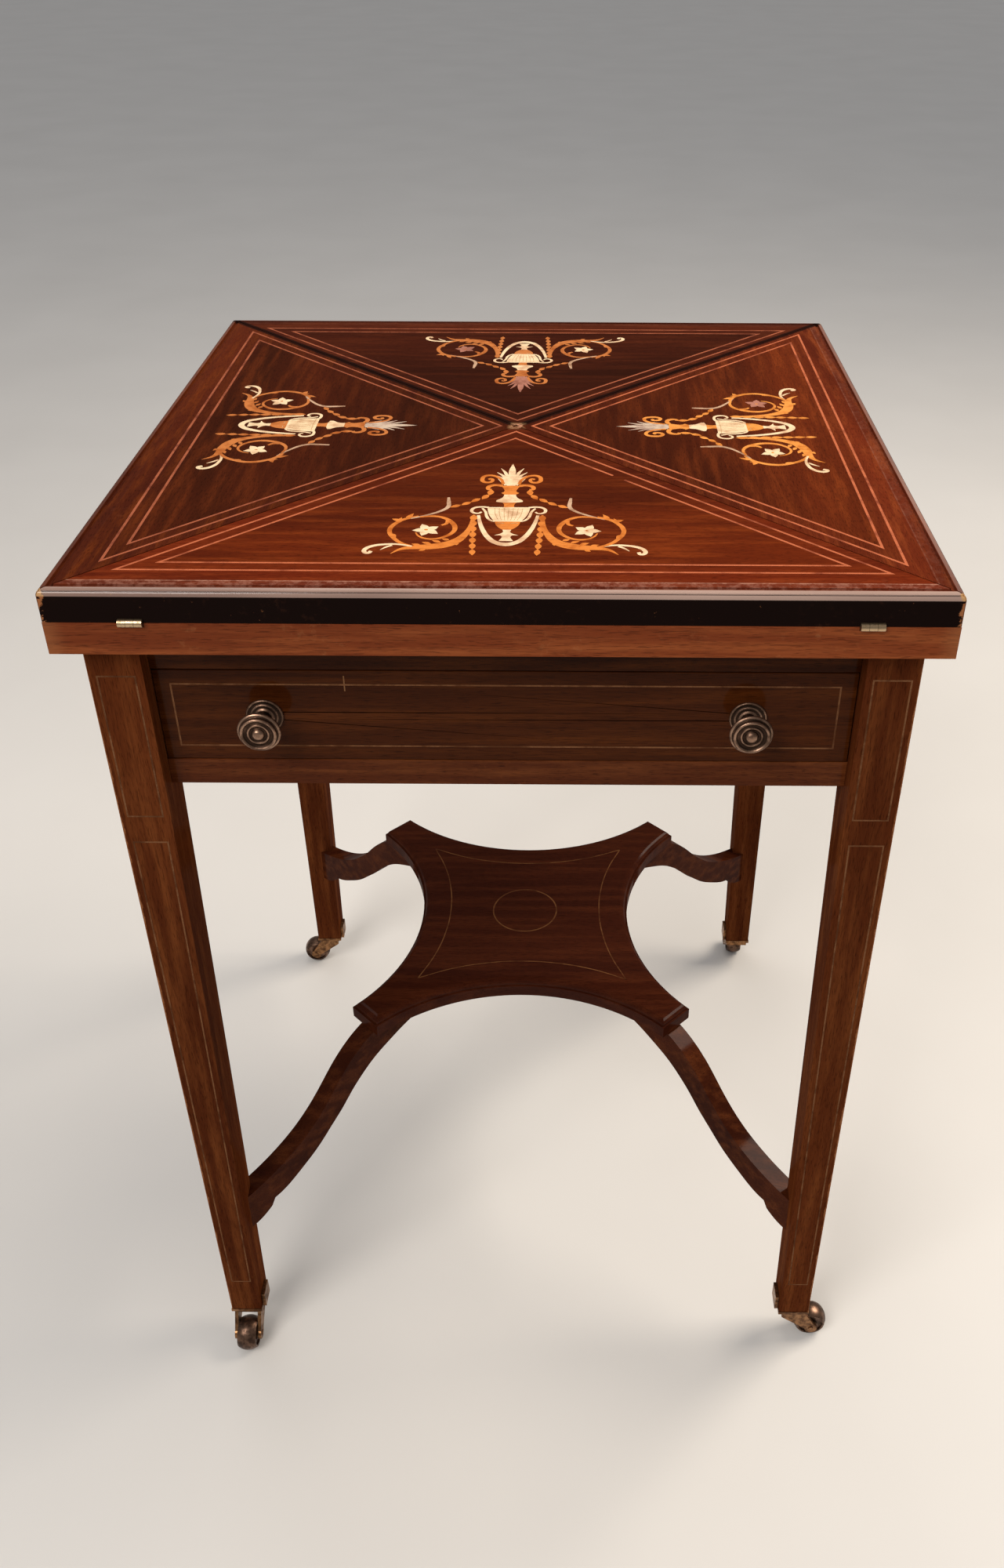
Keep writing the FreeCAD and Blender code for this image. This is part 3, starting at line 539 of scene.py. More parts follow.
# %% Leaf finish
def leaf_finish(name, along, shift, nose_highlight, field_codes, border_codes):
    """Rosewood veneer, red border, moulding, black band and the mahogany underside of a leaf."""
    material, tree, shader = new_finish(name)
    plain = coordinates(tree)
    where = place_group(places, {"Vector": plain})
    edge, seam, height = where["Edge"], where["Seam"], where["Height"]
    vector = grain_vector(tree, along, 0.1, 0.0, shift)
    veneer = grain_of(vector, field_codes, 11.0)
    border = grain_of(vector, border_codes, 15.0)
    under = grain_of(vector, leaf_under)
    in_border = calc("MAXIMUM", below(edge, outer_line_in), below(seam, outer_line_seam))
    in_band = calc("MAXIMUM", below(edge, inner_line_in), below(seam, inner_line_seam))
    red_share = calc("MAXIMUM", times(in_band, 0.6), in_border)
    colour = mix(red_share, veneer["Color"], border["Color"])
    colour = mix(ramp(edge, 45.0 * mm, 170.0 * mm, 0.0, 0.45), colour, tint["middle"])
    chips = noise(plain, 190.0, 5.0, 0.75)
    colour, in_nose = moulding_over(colour, edge, chips, border, nose_highlight)

    # The black band on the edge, the plain underside and a painted shade along the rear seams, where the
    # gap between the leaves lies in shadow
    side_face = below(edge, 0.5 * mm)
    on_band = below(height, band_top)
    in_black = times(side_face, on_band)
    colour = mix(in_black, colour, tint["black"])
    in_under = times(below(height, leaf_bottom + 1.0 * mm), calc("SUBTRACT", 1.0, side_face))
    colour = mix(in_under, colour, under["Color"])
    # Painted shade along the two rear seams, standing in for the dark gap between the leaves
    behind_middle = ramp(axes_of(plain)["Y"], 0.0, 4.0 * mm)
    rear_seam = times(below(seam, seam_shade_width, 0.8 * mm), behind_middle)
    colour = mix(times(rear_seam, 0.85), colour, tint["dirt"])
    colour, rubbing = bare_wood_over(colour, where, chips, on_band)

    worn = place_group(wear, {
        "Vector": plain, "Color": colour, "Rubbed": tint["rubbed"], "Amount": 0.12, "Smooth": 0.2,
        "Dull": 0.34})
    rough = calc("MULTIPLY_ADD", calc("MAXIMUM", rubbing, in_black), 0.25, worn["Roughness"])
    gloss = calc("MULTIPLY_ADD", in_nose, 0.7 * nose_highlight, 0.1)
    polish(shader, worn["Color"], rough, times(gloss, calc("SUBTRACT", 1.0, in_black)))
    bump(shader, calc("ADD", times(veneer["Pores"], -0.5), times(rubbing, -1.0)), 0.2)
    return material


# Grain direction, shift of the figure, painted highlight on the moulding, and field and border colours,
# painted lighter on the front leaf and darker on the back and left leaves
leaf_woods = {
    "front": ("x", (0.0, 0.0, 0.0), 1.0, ("451607", "66250b", "803713"), ("4a1708", "68230c", "7e3516")),
    "right": ("y", (0.5, 0.1, 0.0), 0.45, ("3e1608", "5a220c", "773414"), ("4a1a0b", "672711", "823d1c")),
    "back": ("x", (0.9, 0.4, 0.0), 0.3, ("260d05", "3a1509", "4d200e"), ("35120a", "4a1d0d", "602b15")),
    "left": ("y", (0.2, 0.6, 0.0), 0.12, ("2e1106", "471a0a", "5d280f"), ("3c160a", "52200e", "69300f")),
}
for side, looks in leaf_woods.items():
    dress(["leaf_" + side], leaf_finish("leaf_rosewood_" + side, *looks))
print("four leaves veneered")

# %% [markdown]
# ## The bed
# The bed under the leaves shows only its edge when the table is closed: a plain warm mahogany
# lipping, rubbed paler along its arrises and at the corners. Its grain runs along each edge, so the
# finish turns the grain where the nearer edge changes, as a mitred lipping does.

# %% Bed finish
bed_mahogany = ("582611", "7b391b", "98532b")


def bed_finish():
    """Mahogany lipping with the grain along each edge, rubbed at the corners."""
    material, tree, shader = new_finish("bed_mahogany")
    plain = coordinates(tree)
    axes = axes_of(plain)
    size_x, size_y = [calc("ABSOLUTE", axes[axis]) for axis in "XY"]
    along_y = ramp(calc("SUBTRACT", size_x, size_y), 0.0, 0.5 * mm)
    long_x, long_y = [grain_of(grain_vector(tree, along, 0.06), bed_mahogany) for along in "xy"]
    worn = place_group(wear, {
        "Vector": plain, "Color": mix(along_y, long_x["Color"], long_y["Color"]),
        "Rubbed": "b07a4e", "Amount": 0.2, "Smooth": 0.3})
    near_corner = ramp(place_group(places, {"Vector": plain})["Corner"], 0.0, 14.0 * mm, 1.0, 0.0)
    bare = times(near_corner, calc("ADD", worn["Scuffs"], 0.25))
    polish(shader, mix(bare, worn["Color"], "a06c44"), worn["Roughness"], 0.12)
    bump(shader, times(long_x["Pores"], -1.0), 0.2)
    return material


dress(["bed"], bed_finish())
print("bed lipping finished")

# %% [markdown]
# ## Metal
# The knobs are old lacquered brass gone nearly black in the hollows, the hinge knuckles are rubbed
# pale, and the castors are dull brown brass with dark wheels. Old brass is a metal whose colour and
# roughness both follow the tarnish, so one group makes tarnish clouds and each metal sets its bright
# and dark colours.

# %% Tarnish group and metals
tarnish, given, result = new_group(
    "tarnish",
    {"Vector": ("Vector", None), "Bright": ("Color", "b99a62"), "Dark": ("Color", "4a3623"),
     "Cover": ("Float", 0.5), "Scale": ("Float", 120.0)},
    {"Color": "Color", "Roughness": "Float", "Cover": "Float"})
patches = noise(given["Vector"], given["Scale"], 6.0, 0.7)
cover = ramp(calc("ADD", patches, calc("SUBTRACT", given["Cover"], 0.5)), 0.38, 0.62)
feed(result, {
    "Color": mix(cover, given["Bright"], given["Dark"]),
    "Roughness": ramp(cover, 0.0, 1.0, 0.32, 0.5), "Cover": cover})


def metal_finish(name, bright, dark, amount, scale=120.0):
    """Tarnished metal between a bright and a dark colour."""
    material, tree, shader = new_finish(name)
    old = place_group(tarnish, {
        "Vector": coordinates(tree), "Bright": bright, "Dark": dark, "Cover": amount,
        "Scale": scale})
    feed(shader.inputs, {"Base Color": old["Color"], "Roughness": old["Roughness"], "Metallic": 0.95})
    bump(shader, old["Cover"], 0.12)
    return material


knob_brass = metal_finish("knob_dark_brass", "a3826c", "5a4437", 0.5, 60.0)
knob_hollow = metal_finish("knob_hollow_brass", "5c4436", "35261d", 0.6, 60.0)
hinge_brass = metal_finish("hinge_worn_brass", "c4a986", "826a4d", 0.4, 260.0)
castor_brass = metal_finish("castor_dull_brass", "9c724d", "573a26", 0.5)
wheel_brass = metal_finish("castor_wheel_dark", "7d6150", "44332a", 0.5)
plain_steel = metal_finish("plain_steel", "9a9892", "5a5650", 0.4)
dress(["hinge_bed_flaps", "hinge_pins"], hinge_brass)
dress(["hinge_leaf_flaps_" + side for side in side_turns], hinge_brass)
dress(["castor_plates"], castor_brass)
for corner in corner_signs:
    dress(["castor_fork_" + corner, "castor_axle_" + corner], castor_brass)
    dress(["castor_wheel_" + corner], wheel_brass)
dress(["knob_nuts", "pivot_bolt", "pivot_lower_washer", "pivot_nut", "swivel_washer"], plain_steel)
print("metals on the knobs, hinges, swivel and castors")

# %% [markdown]
# ## Knobs
# A turned brass knob is one profile spun round its axis. The face has a rolled rim, a dish, a raised
# ring and a boss in the middle, and the rose behind it is turned the same way. The hollows keep the
# dark lacquer and the raised parts are rubbed brighter, so each face of the spin takes its metal from
# where it lies on the profile.

# %% Profiles of the knobs and roses
knob_low, knob_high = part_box("knobs")
knob_radius = (knob_high.z - knob_low.z) / 2
knob_height = (knob_high.z + knob_low.z) / 2
knob_places = (knob_low.x + knob_radius, knob_high.x - knob_radius)
stud_end = (knob_high.y - drawer_low.y) / mm
knob_profile = (
    (0.0, -stud_end), (2.1, -stud_end), (2.5, 0.5 - stud_end), (2.5, 3.6), (5.2, 3.6), (4.6, 5.0),
    (3.9, 7.2), (3.6, 9.5), (4.1, 11.6), (5.6, 13.4), (7.8, 14.7), (9.8, 15.8), (11.7, 17.2),
    (13.0, 17.9), (13.6, 18.7), (13.6, 19.5), (13.1, 20.2), (12.3, 20.5), (11.6, 20.7), (11.3, 21.2),
    (11.5, 21.8), (11.5, 22.6), (11.1, 23.2), (10.5, 23.5), (9.9, 23.2), (9.5, 22.6), (8.8, 21.9),
    (8.0, 21.7), (7.3, 21.9), (6.9, 22.4), (6.4, 22.6), (5.9, 22.3), (5.4, 21.8), (4.8, 21.6),
    (4.2, 21.7), (3.8, 22.3), (3.5, 23.2), (2.7, 24.0), (1.4, 24.4), (0.0, 24.5),
)
rose_profile = (
    (2.6, 0.0), (11.6, 0.0), (11.9, 0.4), (11.9, 1.0), (11.5, 1.6), (10.8, 1.7), (10.2, 1.2), (9.4, 1.2),
    (8.9, 1.8), (8.0, 2.3), (7.0, 2.2), (6.5, 2.6), (6.0, 3.3), (5.4, 3.6), (2.6, 3.6), (2.6, 0.0),
)
# Hollows between two radii and two distances forward
knob_hollows = (
    (3.9, 5.8, 21.0, 24.0), (7.0, 9.6, 21.0, 22.7), (11.0, 12.1, 20.4, 21.6), (0.0, 5.1, 3.7, 12.5),
    (9.0, 10.6, 1.0, 1.6), (6.6, 7.6, 2.1, 2.5),
)
print("knobs", round(2 * knob_radius, 4), "m across at", knob_places)


# %% Turning a profile and keeping a piece
def turned(profile, place_x):
    """Spin a profile of radius and distance forward about a knob's axis."""
    work = bmesh.new()
    line = [work.verts.new((radius * mm, -forward_run * mm, 0.0)) for radius, forward_run in profile]
    edges = [work.edges.new(pair) for pair in zip(line[:-1], line[1:])]
    bmesh.ops.spin(
        work, geom=line + edges, cent=(0.0, 0.0, 0.0), axis=(0.0, 1.0, 0.0), dvec=(0.0, 0.0, 0.0),
        angle=2 * math.pi, steps=40, use_merge=True)
    bmesh.ops.remove_doubles(work, verts=work.verts, dist=0.005 * mm)
    for face in work.faces:
        centre = face.calc_center_median() / mm
        radius = math.hypot(centre.x, centre.z)
        face.material_index = int(any(
            low < radius < high and back < -centre.y < front for low, high, back, front in knob_hollows))
        face.smooth = True
    bmesh.ops.translate(work, verts=work.verts, vec=(place_x, drawer_low.y, knob_height))
    return work


def keep_piece(name, work, materials, body):
    """Make a finished bmesh an object that rides on a body."""
    bmesh.ops.recalc_face_normals(work, faces=work.faces)
    data = bpy.data.meshes.new(name)
    work.to_mesh(data)
    work.free()
    for material in materials:
        data.materials.append(material)
    piece = add_object(name, data)
    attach(piece, body)
    return piece


def join_work(first, second):
    """Add one bmesh to another, and free it."""
    spare = bpy.data.meshes.new("spare")
    second.to_mesh(spare)
    second.free()
    first.from_mesh(spare)
    bpy.data.meshes.remove(spare)
    return first


print("turning ready")

# %% Turned knobs and roses
turned_pieces = (("turned_knobs", knob_profile, "knobs"), ("turned_roses", rose_profile, "knob_roses"))
for name, profile, replaced in turned_pieces:
    work = join_work(turned(profile, knob_places[0]), turned(profile, knob_places[1]))
    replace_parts(keep_piece(name, work, [knob_brass, knob_hollow], "drawer"), replaced)
print("two knobs and two roses turned")

# %% [markdown]
# ## Screws
# The hinge flaps, the castor tabs and the flange of the pivot are screwed on with small slotted
# screws. A head is a short cone cut by two planes, and the strip between the cuts is pushed down as
# the slot. Each one stands only a few hundredths of a millimetre proud, because a countersunk head
# has to let the leaf close over it.

# %% Screw head
screw_proud = 0.04 * mm
screw_depth = 0.8 * mm
slot_width = 0.7 * mm
head_taper = 0.7
slot_depth = screw_depth / 2
up = Vector((0.0, 0.0, 1.0))


def about_z(angle, size=3):
    """Turn about the upright axis by degrees."""
    return Matrix.Rotation(math.radians(angle), size, "Z")


def cut(work, place, across):
    """Cut every face and edge along a plane."""
    bmesh.ops.bisect_plane(
        work, geom=work.verts[:] + work.edges[:] + work.faces[:], plane_co=place, plane_no=across)


def push(work, faces, move, keep=True):
    """Extrude faces by a move, with the first faces kept or not, and give back the moved vertices."""
    out = bmesh.ops.extrude_face_region(work, geom=faces, use_keep_orig=keep)
    moved = [item for item in out["geom"] if isinstance(item, bmesh.types.BMVert)]
    bmesh.ops.translate(work, verts=moved, vec=move)
    return moved


def screw_head(work, place, outward, radius, slot_angle):
    """Add a slotted head at a place, facing outward."""
    head = bmesh.new()
    bmesh.ops.create_cone(
        head, cap_ends=True, segments=20, radius1=radius * head_taper, radius2=radius, depth=screw_depth)
    for side in (-0.5, 0.5):
        cut(head, (0.0, side * slot_width, 0.0), (0.0, 1.0, 0.0))
    strip = [
        face for face in head.faces
        if face.normal.z > 0.9 and abs(face.calc_center_median().y) < slot_width / 2]
    push(head, strip, (0.0, 0.0, -slot_depth), keep=False)
    bmesh.ops.delete(head, geom=strip, context="FACES_ONLY")
    facing = outward.to_track_quat("Z", "Y").to_matrix().to_4x4()
    lift = Matrix.Translation((0.0, 0.0, screw_proud - screw_depth / 2))
    placing = Matrix.Translation(place) @ facing @ lift @ about_z(slot_angle, 4)
    bmesh.ops.transform(head, verts=head.verts, matrix=placing)
    join_work(work, head)


print("screw head ready, slot", slot_width, "m wide")

# %% Hinge and pivot screws
hinge_x = 215.0 * mm
hinge_screws = ((-3.4, -260.0, 20.0), (3.4, -252.5, 75.0))
flap_screw_radius = 1.9 * mm
flange_screw_radius = 1.6 * mm
flange_ring = 26.0 * mm
bed_screws = bmesh.new()
for side, angle in side_turns.items():
    leaf_screws = bmesh.new()
    turn = about_z(angle)
    for hinge_place in (-hinge_x, hinge_x):
        for run, reach, slot_angle in hinge_screws:
            spot_here = Vector((hinge_place + run * mm, reach * mm, 0.0))
            on_bed, on_leaf = [turn @ (spot_here + height * up) for height in (bed_high.z, leaf_bottom)]
            screw_head(bed_screws, on_bed, up, flap_screw_radius, slot_angle)
            screw_head(leaf_screws, on_leaf, -up, flap_screw_radius, slot_angle + 30.0)
    keep_piece("hinge_leaf_screws_" + side, leaf_screws, [hinge_brass], side + "_leaf")
for angle in (45.0, 135.0, 225.0, 315.0):
    spot_here = about_z(angle) @ Vector((flange_ring, 0.0, bed_low.z))
    screw_head(bed_screws, spot_here, -up, flange_screw_radius, angle)
keep_piece("hinge_bed_screws", bed_screws, [hinge_brass], "top_bed")
print("hinge screws", len(hinge_screws) * 4 * len(side_turns))

# %% Castor screws
tab_from_middle = 16.15 * mm
foot_width = 25.5 * mm
leg_foot = leg_low.z
castor_middle = leg_out - foot_width / 2
tab_screws = ((-3.9, 4.2, 10.0), (3.9, 8.8, 60.0))
castor_screws = bmesh.new()
for sign_x, sign_y in corner_signs.values():
    for run, rise, slot_angle in tab_screws:
        spot_here = Vector((
            sign_x * (castor_middle - tab_from_middle), sign_y * castor_middle + run * mm,
            leg_foot + rise * mm))
        screw_head(castor_screws, spot_here, Vector((-sign_x, 0.0, 0.0)), flap_screw_radius, slot_angle)
keep_piece("castor_screws", castor_screws, [castor_brass], "frame")
print("two screws in each castor tab")

# %% [markdown]
# ## Line inlay
# The lines are thin strips of boxwood let into the polished surface and levelled with it. Each one is
# modelled as a strip that stands a twentieth of a millimetre proud, which is how old inlay feels
# under a finger as the ground shrinks round it. A closed line is one face that is inset by the line's
# width, emptied in the middle and given thickness, so that its corners are mitred like the real ones.

# %% Inlay helpers
proud = 0.05 * mm
let_in = 0.10 * mm


def ring_inlay(work, outline, width, outward):
    """Add a closed line of even width along a flat outline, inside it."""
    corners = [work.verts.new(point + outward * proud) for point in outline]
    face = work.faces.new(corners)
    face.normal_update()
    ring = bmesh.ops.inset_region(
        work, faces=[face], thickness=width, use_even_offset=True, use_boundary=True)["faces"]
    bmesh.ops.delete(work, geom=[face], context="FACES_ONLY")
    push(work, ring, -outward * (proud + let_in))


def line_finish(name, pale, dark, fade, coat):
    """Boxwood line, darkened by old polish in places."""
    material, tree, shader = new_finish(name)
    plain = coordinates(tree)
    dirt = noise(plain, 55.0, 5.0, 0.65)
    fleck = noise(plain, 900.0, 2.0)
    colour = mix(ramp(dirt, fade - 0.12, fade + 0.15), pale, dark)
    colour = mix(ramp(fleck, 0.5, 0.7, 0.0, 0.35), colour, dark)
    polish(shader, colour, ramp(dirt, 0.3, 0.7, 0.3, 0.5), coat)
    bump(shader, fleck, 0.1, 0.1 * mm)
    return material


top_line = line_finish("top_line_boxwood", "ae5f3e", "763824", 0.56, 0.2)
# The dull line is the same boxwood painted darker, as painted shade for the back and left leaves
dull_line = line_finish("dull_line_boxwood", "945238", "653223", 0.54, 0.12)
leg_line = line_finish("leg_line_boxwood", "704b31", "4a2b19", 0.5, 0.03)
print("inlay helpers ready")

# %% Lines on the leaves
top_line_width = 1.7 * mm


def leaf_triangle(edge_in, seam_in):
    """Corners of a triangle on the front leaf, set in from the edge and from the seams."""
    base_y = -half_top + edge_in
    apex_y = -seam_in * math.sqrt(2)
    half_base = apex_y - base_y
    corners = ((-half_base, base_y), (half_base, base_y), (0.0, apex_y))
    return [Vector((run, depth, top_z)) for run, depth in corners]


# A short piece of the inner line is missing on the right of the front leaf
seam_run_right = Vector((1.0, -1.0, 0.0)).normalized()
lost_piece = (Vector((67.9, -94.0, 751.0)) * mm, Vector((75.4, -101.5, 751.0)) * mm)
near_line = 4.0 * mm


def in_lost_piece(spot_here):
    """True for a place on the inner line between the ends of the lost piece."""
    along = (spot_here - lost_piece[0]).dot(seam_run_right)
    aside = abs(spot_here.x + spot_here.y + inner_line_seam * math.sqrt(2))
    return 0.0 < along < (lost_piece[1] - lost_piece[0]).length and aside < near_line


for side, angle in side_turns.items():
    work = bmesh.new()
    ring_inlay(work, leaf_triangle(outer_line_in, outer_line_seam), top_line_width, up)
    ring_inlay(work, leaf_triangle(inner_line_in, inner_line_seam), top_line_width, up)
    if side == "front":
        for gap_end in lost_piece:
            cut(work, gap_end, seam_run_right)
        lost = [face for face in work.faces if in_lost_piece(face.calc_center_median())]
        bmesh.ops.delete(work, geom=lost, context="FACES")
        bmesh.ops.holes_fill(work, edges=[edge for edge in work.edges if edge.is_boundary])
    bmesh.ops.rotate(work, verts=work.verts, matrix=about_z(angle))
    # Painted shade: the back and left leaves take the darker line
    line_wood = dull_line if side in ("left", "back") else top_line
    keep_piece("leaf_lines_" + side, work, [line_wood], side + "_leaf")
print("two lines on each leaf")

# %% Lines on the legs and drawer
leg_line_width = 1.1 * mm
line_from_arris = 4.6 * mm
upper_panel = (579.0 * mm, 686.0 * mm)
lower_panel = (80.0 * mm, 559.0 * mm)
leg_top_width = leg_out - leg_low.x


def leg_width(height):
    """Width of a leg at a height: even behind the frieze, tapering to the foot below it."""
    share = min(1.0, (height - leg_foot) / (rail_bottom - leg_foot))
    return foot_width + share * (leg_top_width - foot_width)


def leg_panel(bottom, top):
    """Outline of a panel on a leg's face, as distances from the outer arris and heights."""
    return [
        (line_from_arris, bottom), (leg_width(bottom) - line_from_arris, bottom),
        (leg_width(top) - line_from_arris, top), (line_from_arris, top),
    ]


work = bmesh.new()
for sign_x, sign_y in corner_signs.values():
    for panel in (upper_panel, lower_panel):
        outline = leg_panel(*panel)
        front = [Vector((sign_x * (leg_out - run), sign_y * leg_out, height)) for run, height in outline]
        flank = [Vector((sign_x * leg_out, sign_y * (leg_out - run), height)) for run, height in outline]
        ring_inlay(work, front, leg_line_width, Vector((0.0, sign_y, 0.0)))
        ring_inlay(work, flank, leg_line_width, Vector((sign_x, 0.0, 0.0)))
keep_piece("leg_lines", work, [leg_line], "frame")

drawer_line_in = 9.6 * mm
work = bmesh.new()
sides = (drawer_low.x + drawer_line_in, drawer_high.x - drawer_line_in)
levels = (drawer_low.z + drawer_line_in, drawer_high.z - drawer_line_in)
turns_round = ((0, 0), (1, 0), (1, 1), (0, 1))
drawer_outline = [Vector((sides[across], drawer_low.y, levels[rise])) for across, rise in turns_round]
ring_inlay(work, drawer_outline, leg_line_width, Vector((0.0, -1.0, 0.0)))
keep_piece("drawer_lines", work, [leg_line], "drawer")
print("lines on the legs and drawer")

# %% [markdown]
# ## Curved inlay
# Scrolls, husks and petals are cut from thin veneers to drawn curves. A stroke that swells and thins
# is a Bezier curve with a square pen as its bevel, where each point's radius is the stroke's width; a
# filled shape is a flat closed curve. Both become meshes, are flattened to the thickness of inlay,
# and are gathered into one piece.

# %% Curve helpers
pen_curve = bpy.data.curves.new("square_pen", "CURVE")
pen_curve.dimensions = "2D"
pen_spline = pen_curve.splines.new("POLY")
pen_spline.points.add(3)
pen_corners = ((-0.5, -0.5), (0.5, -0.5), (0.5, 0.5), (-0.5, 0.5))
for point, (across, rise) in zip(pen_spline.points, pen_corners):
    point.co = (across * mm, rise * mm, 0.0, 1.0)
pen_spline.use_cyclic_u = True
square_pen = add_object("square_pen", pen_curve)


def bezier(name, points, closed):
    """Curve data through points in millimetres; a point marked corner has straight handles."""
    curve = bpy.data.curves.new(name, "CURVE")
    curve.resolution_u = 5
    spline = curve.splines.new("BEZIER")
    spline.bezier_points.add(len(points) - 1)
    spline.use_cyclic_u = closed
    for bezier_point, point in zip(spline.bezier_points, points):
        handle = "VECTOR" if len(point) > 2 else "AUTO"
        bezier_point.co = (point[0] * mm, point[1] * mm, 0.0)
        bezier_point.handle_left_type = handle
        bezier_point.handle_right_type = handle
    return curve


def curve_mesh(curve):
    """Mesh of a curve as it would be drawn."""
    holder = add_object("curve_holder", curve)
    shown = holder.evaluated_get(bpy.context.evaluated_depsgraph_get())
    mesh = bpy.data.meshes.new_from_object(shown)
    bpy.data.objects.remove(holder)
    return mesh


def flatten(mesh, lift=0.0):
    """Set every vertex on the upper or lower face of the inlay."""
    for vertex in mesh.vertices:
        vertex.co.z = proud + lift if vertex.co.z > 0 else -let_in
    return mesh


print("curves become flat meshes, let in", let_in, "m")

# %% Strokes, plates and petals
belly_place = 0.42


def stroke(points, widths, lift=0.0):
    """Stroke through points, with widths at even places from its start to its end."""
    curve = bezier("stroke", points, False)
    curve.dimensions = "3D"
    curve.twist_mode = "Z_UP"
    curve.bevel_mode = "OBJECT"
    curve.bevel_object = square_pen
    curve.use_fill_caps = True
    for place, bezier_point in enumerate(curve.splines[0].bezier_points):
        run = place * (len(widths) - 1) / (len(points) - 1)
        step = min(int(run), len(widths) - 2)
        bezier_point.radius = widths[step] + (run - step) * (widths[step + 1] - widths[step])
    return flatten(curve_mesh(curve), lift)


def plate(points):
    """Filled shape inside a closed curve."""
    curve = bezier("plate", points, True)
    curve.dimensions = "2D"
    curve.fill_mode = "BOTH"
    curve.extrude = let_in
    return flatten(curve_mesh(curve))


def teardrop(base, direction, length, width):
    """Petal or husk from a point along a direction, widest a little before its middle."""
    along = direction.normalized()
    aside = Vector((-along.y, along.x)) * width / 2
    tip = base + along * length
    belly = base + along * length * belly_place
    return plate([(*base, "corner"), tuple(belly - aside), (*tip, "corner"), tuple(belly + aside)])


print("strokes, plates and petals ready")


# %% Places along a curve, and gathering
def path_places(points, count):
    """Even places along a curve, each with its direction."""
    curve = bezier("path", points, False)
    curve.dimensions = "3D"
    line = [Vector((vertex.co.x, vertex.co.y)) / mm for vertex in curve_mesh(curve).vertices]
    runs = [(second - first).length for first, second in zip(line[:-1], line[1:])]
    spots = []
    for number in range(count):
        goal = sum(runs) * number / count
        step = 0
        while goal > runs[step]:
            goal -= runs[step]
            step += 1
        direction = (line[step + 1] - line[step]).normalized()
        spots.append((line[step] + direction * goal, direction))
    return spots


def gather(parts, move):
    """One bmesh of many meshes, each with its material's number."""
    work = bmesh.new()
    for mesh, number in parts:
        first = len(work.faces)
        work.from_mesh(mesh)
        work.faces.ensure_lookup_table()
        for face in work.faces[first:]:
            face.material_index = number
            face.smooth = False
    bmesh.ops.remove_doubles(work, verts=work.verts, dist=0.001 * mm)
    bmesh.ops.transform(work, verts=work.verts, matrix=move)
    return work


print("chains and gathering ready")

# %% [markdown]
# ## Marquetry
# Every leaf carries the same neoclassical urn: a plumed lid, a bowl with scrolled handles and a swag,
# husk chains, and a leafy scroll curling round a flower on each side. The drawing is laid out from
# the leaf's middle line and up from its outer edge, one half is drawn, and the other half is its
# mirror image.

# %% Shapes on both sides of the middle line
holly, satinwood, stained, engraved, plumage, first_flower = range(6)
drawing = []


def both(number, points, widths, lift=0.0):
    """Add a stroke and its mirror image."""
    for sign in (1, -1):
        flipped = [(sign * run, rise) for run, rise in points]
        drawing.append((stroke(flipped, widths, lift), number))


def middle(number, half):
    """Add a filled shape that is the same on both sides of the middle line."""
    mirrored = [(-point[0], *point[1:]) for point in reversed(half) if point[0] > 0.01]
    drawing.append((plate(half + mirrored), number))


def petals(number, start, tip, width, mirror=None):
    """Add a petal from a start to its tip, on both sides; the mirrored one may be another wood."""
    for sign, wood in ((1, number), (-1, number if mirror is None else mirror)):
        base = Vector((sign * start[0], start[1]))
        run = Vector((sign * tip[0], tip[1])) - base
        drawing.append((teardrop(base, run, run.length, width), wood))


def husk_chain(number, points, count, length, width, shrink):
    """Add a chain of husks that get smaller along a curve, on both sides."""
    for sign in (1, -1):
        flipped = [(sign * run, rise) for run, rise in points]
        for place, (spot_here, direction) in enumerate(path_places(flipped, count)):
            size = 1.0 - shrink * place / count
            drawing.append((teardrop(spot_here, direction, length * size, width * size), number))


print("mirrored shapes ready")

# %% Plume, lid, bowl and handles
plume = (
    ((2.9, 163.0), (4.2, 179.0), (7.8, 188.0)), ((3.1, 161.0), (5.5, 174.0), (10.2, 181.0)),
    ((3.5, 160.0), (5.9, 169.5), (9.9, 175.0)), ((3.8, 158.5), (6.2, 165.0), (9.1, 169.5)),
)
middle(plumage, [(0.0, 196.5, "corner"), (2.3, 184.0), (1.8, 170.0), (0.8, 158.0, "corner")])
middle(plumage, [(0.0, 178.0), (4.2, 175.0), (5.3, 168.0), (4.0, 161.0), (1.6, 157.4)])
for feather in plume:
    both(plumage, feather, (0.8, 2.5, 0.4))
both(satinwood, [
    (5.1, 160.5), (7.8, 170.0), (12.9, 175.2), (17.7, 174.6), (19.7, 169.0), (18.4, 164.4), (14.8, 163.5),
    (12.7, 166.6), (13.7, 169.6), (15.6, 168.6)], (2.2, 3.0, 2.0))
both(satinwood, [
    (5.6, 157.6), (9.7, 158.8), (13.4, 157.6), (15.1, 154.4), (14.3, 151.5), (12.5, 151.2)],
    (3.4, 3.2, 2.4))
middle(satinwood, [
    (6.7, 158.0, "corner"), (4.7, 153.0), (4.0, 148.4), (5.9, 145.6, "corner"), (3.7, 143.0, "corner")])
middle(holly, [
    (3.7, 143.0, "corner"), (4.9, 138.0), (8.6, 133.6, "corner"), (8.6, 131.4, "corner"),
    (4.5, 130.2, "corner")])
middle(satinwood, [(4.5, 130.2, "corner"), (3.3, 126.8), (3.4, 122.6, "corner")])
middle(holly, [(13.8, 122.8, "corner"), (13.1, 116.0), (11.6, 109.0), (8.4, 100.6, "corner")])
middle(satinwood, [(8.1, 100.6, "corner"), (7.2, 95.6), (5.0, 91.2), (2.5, 88.4, "corner")])
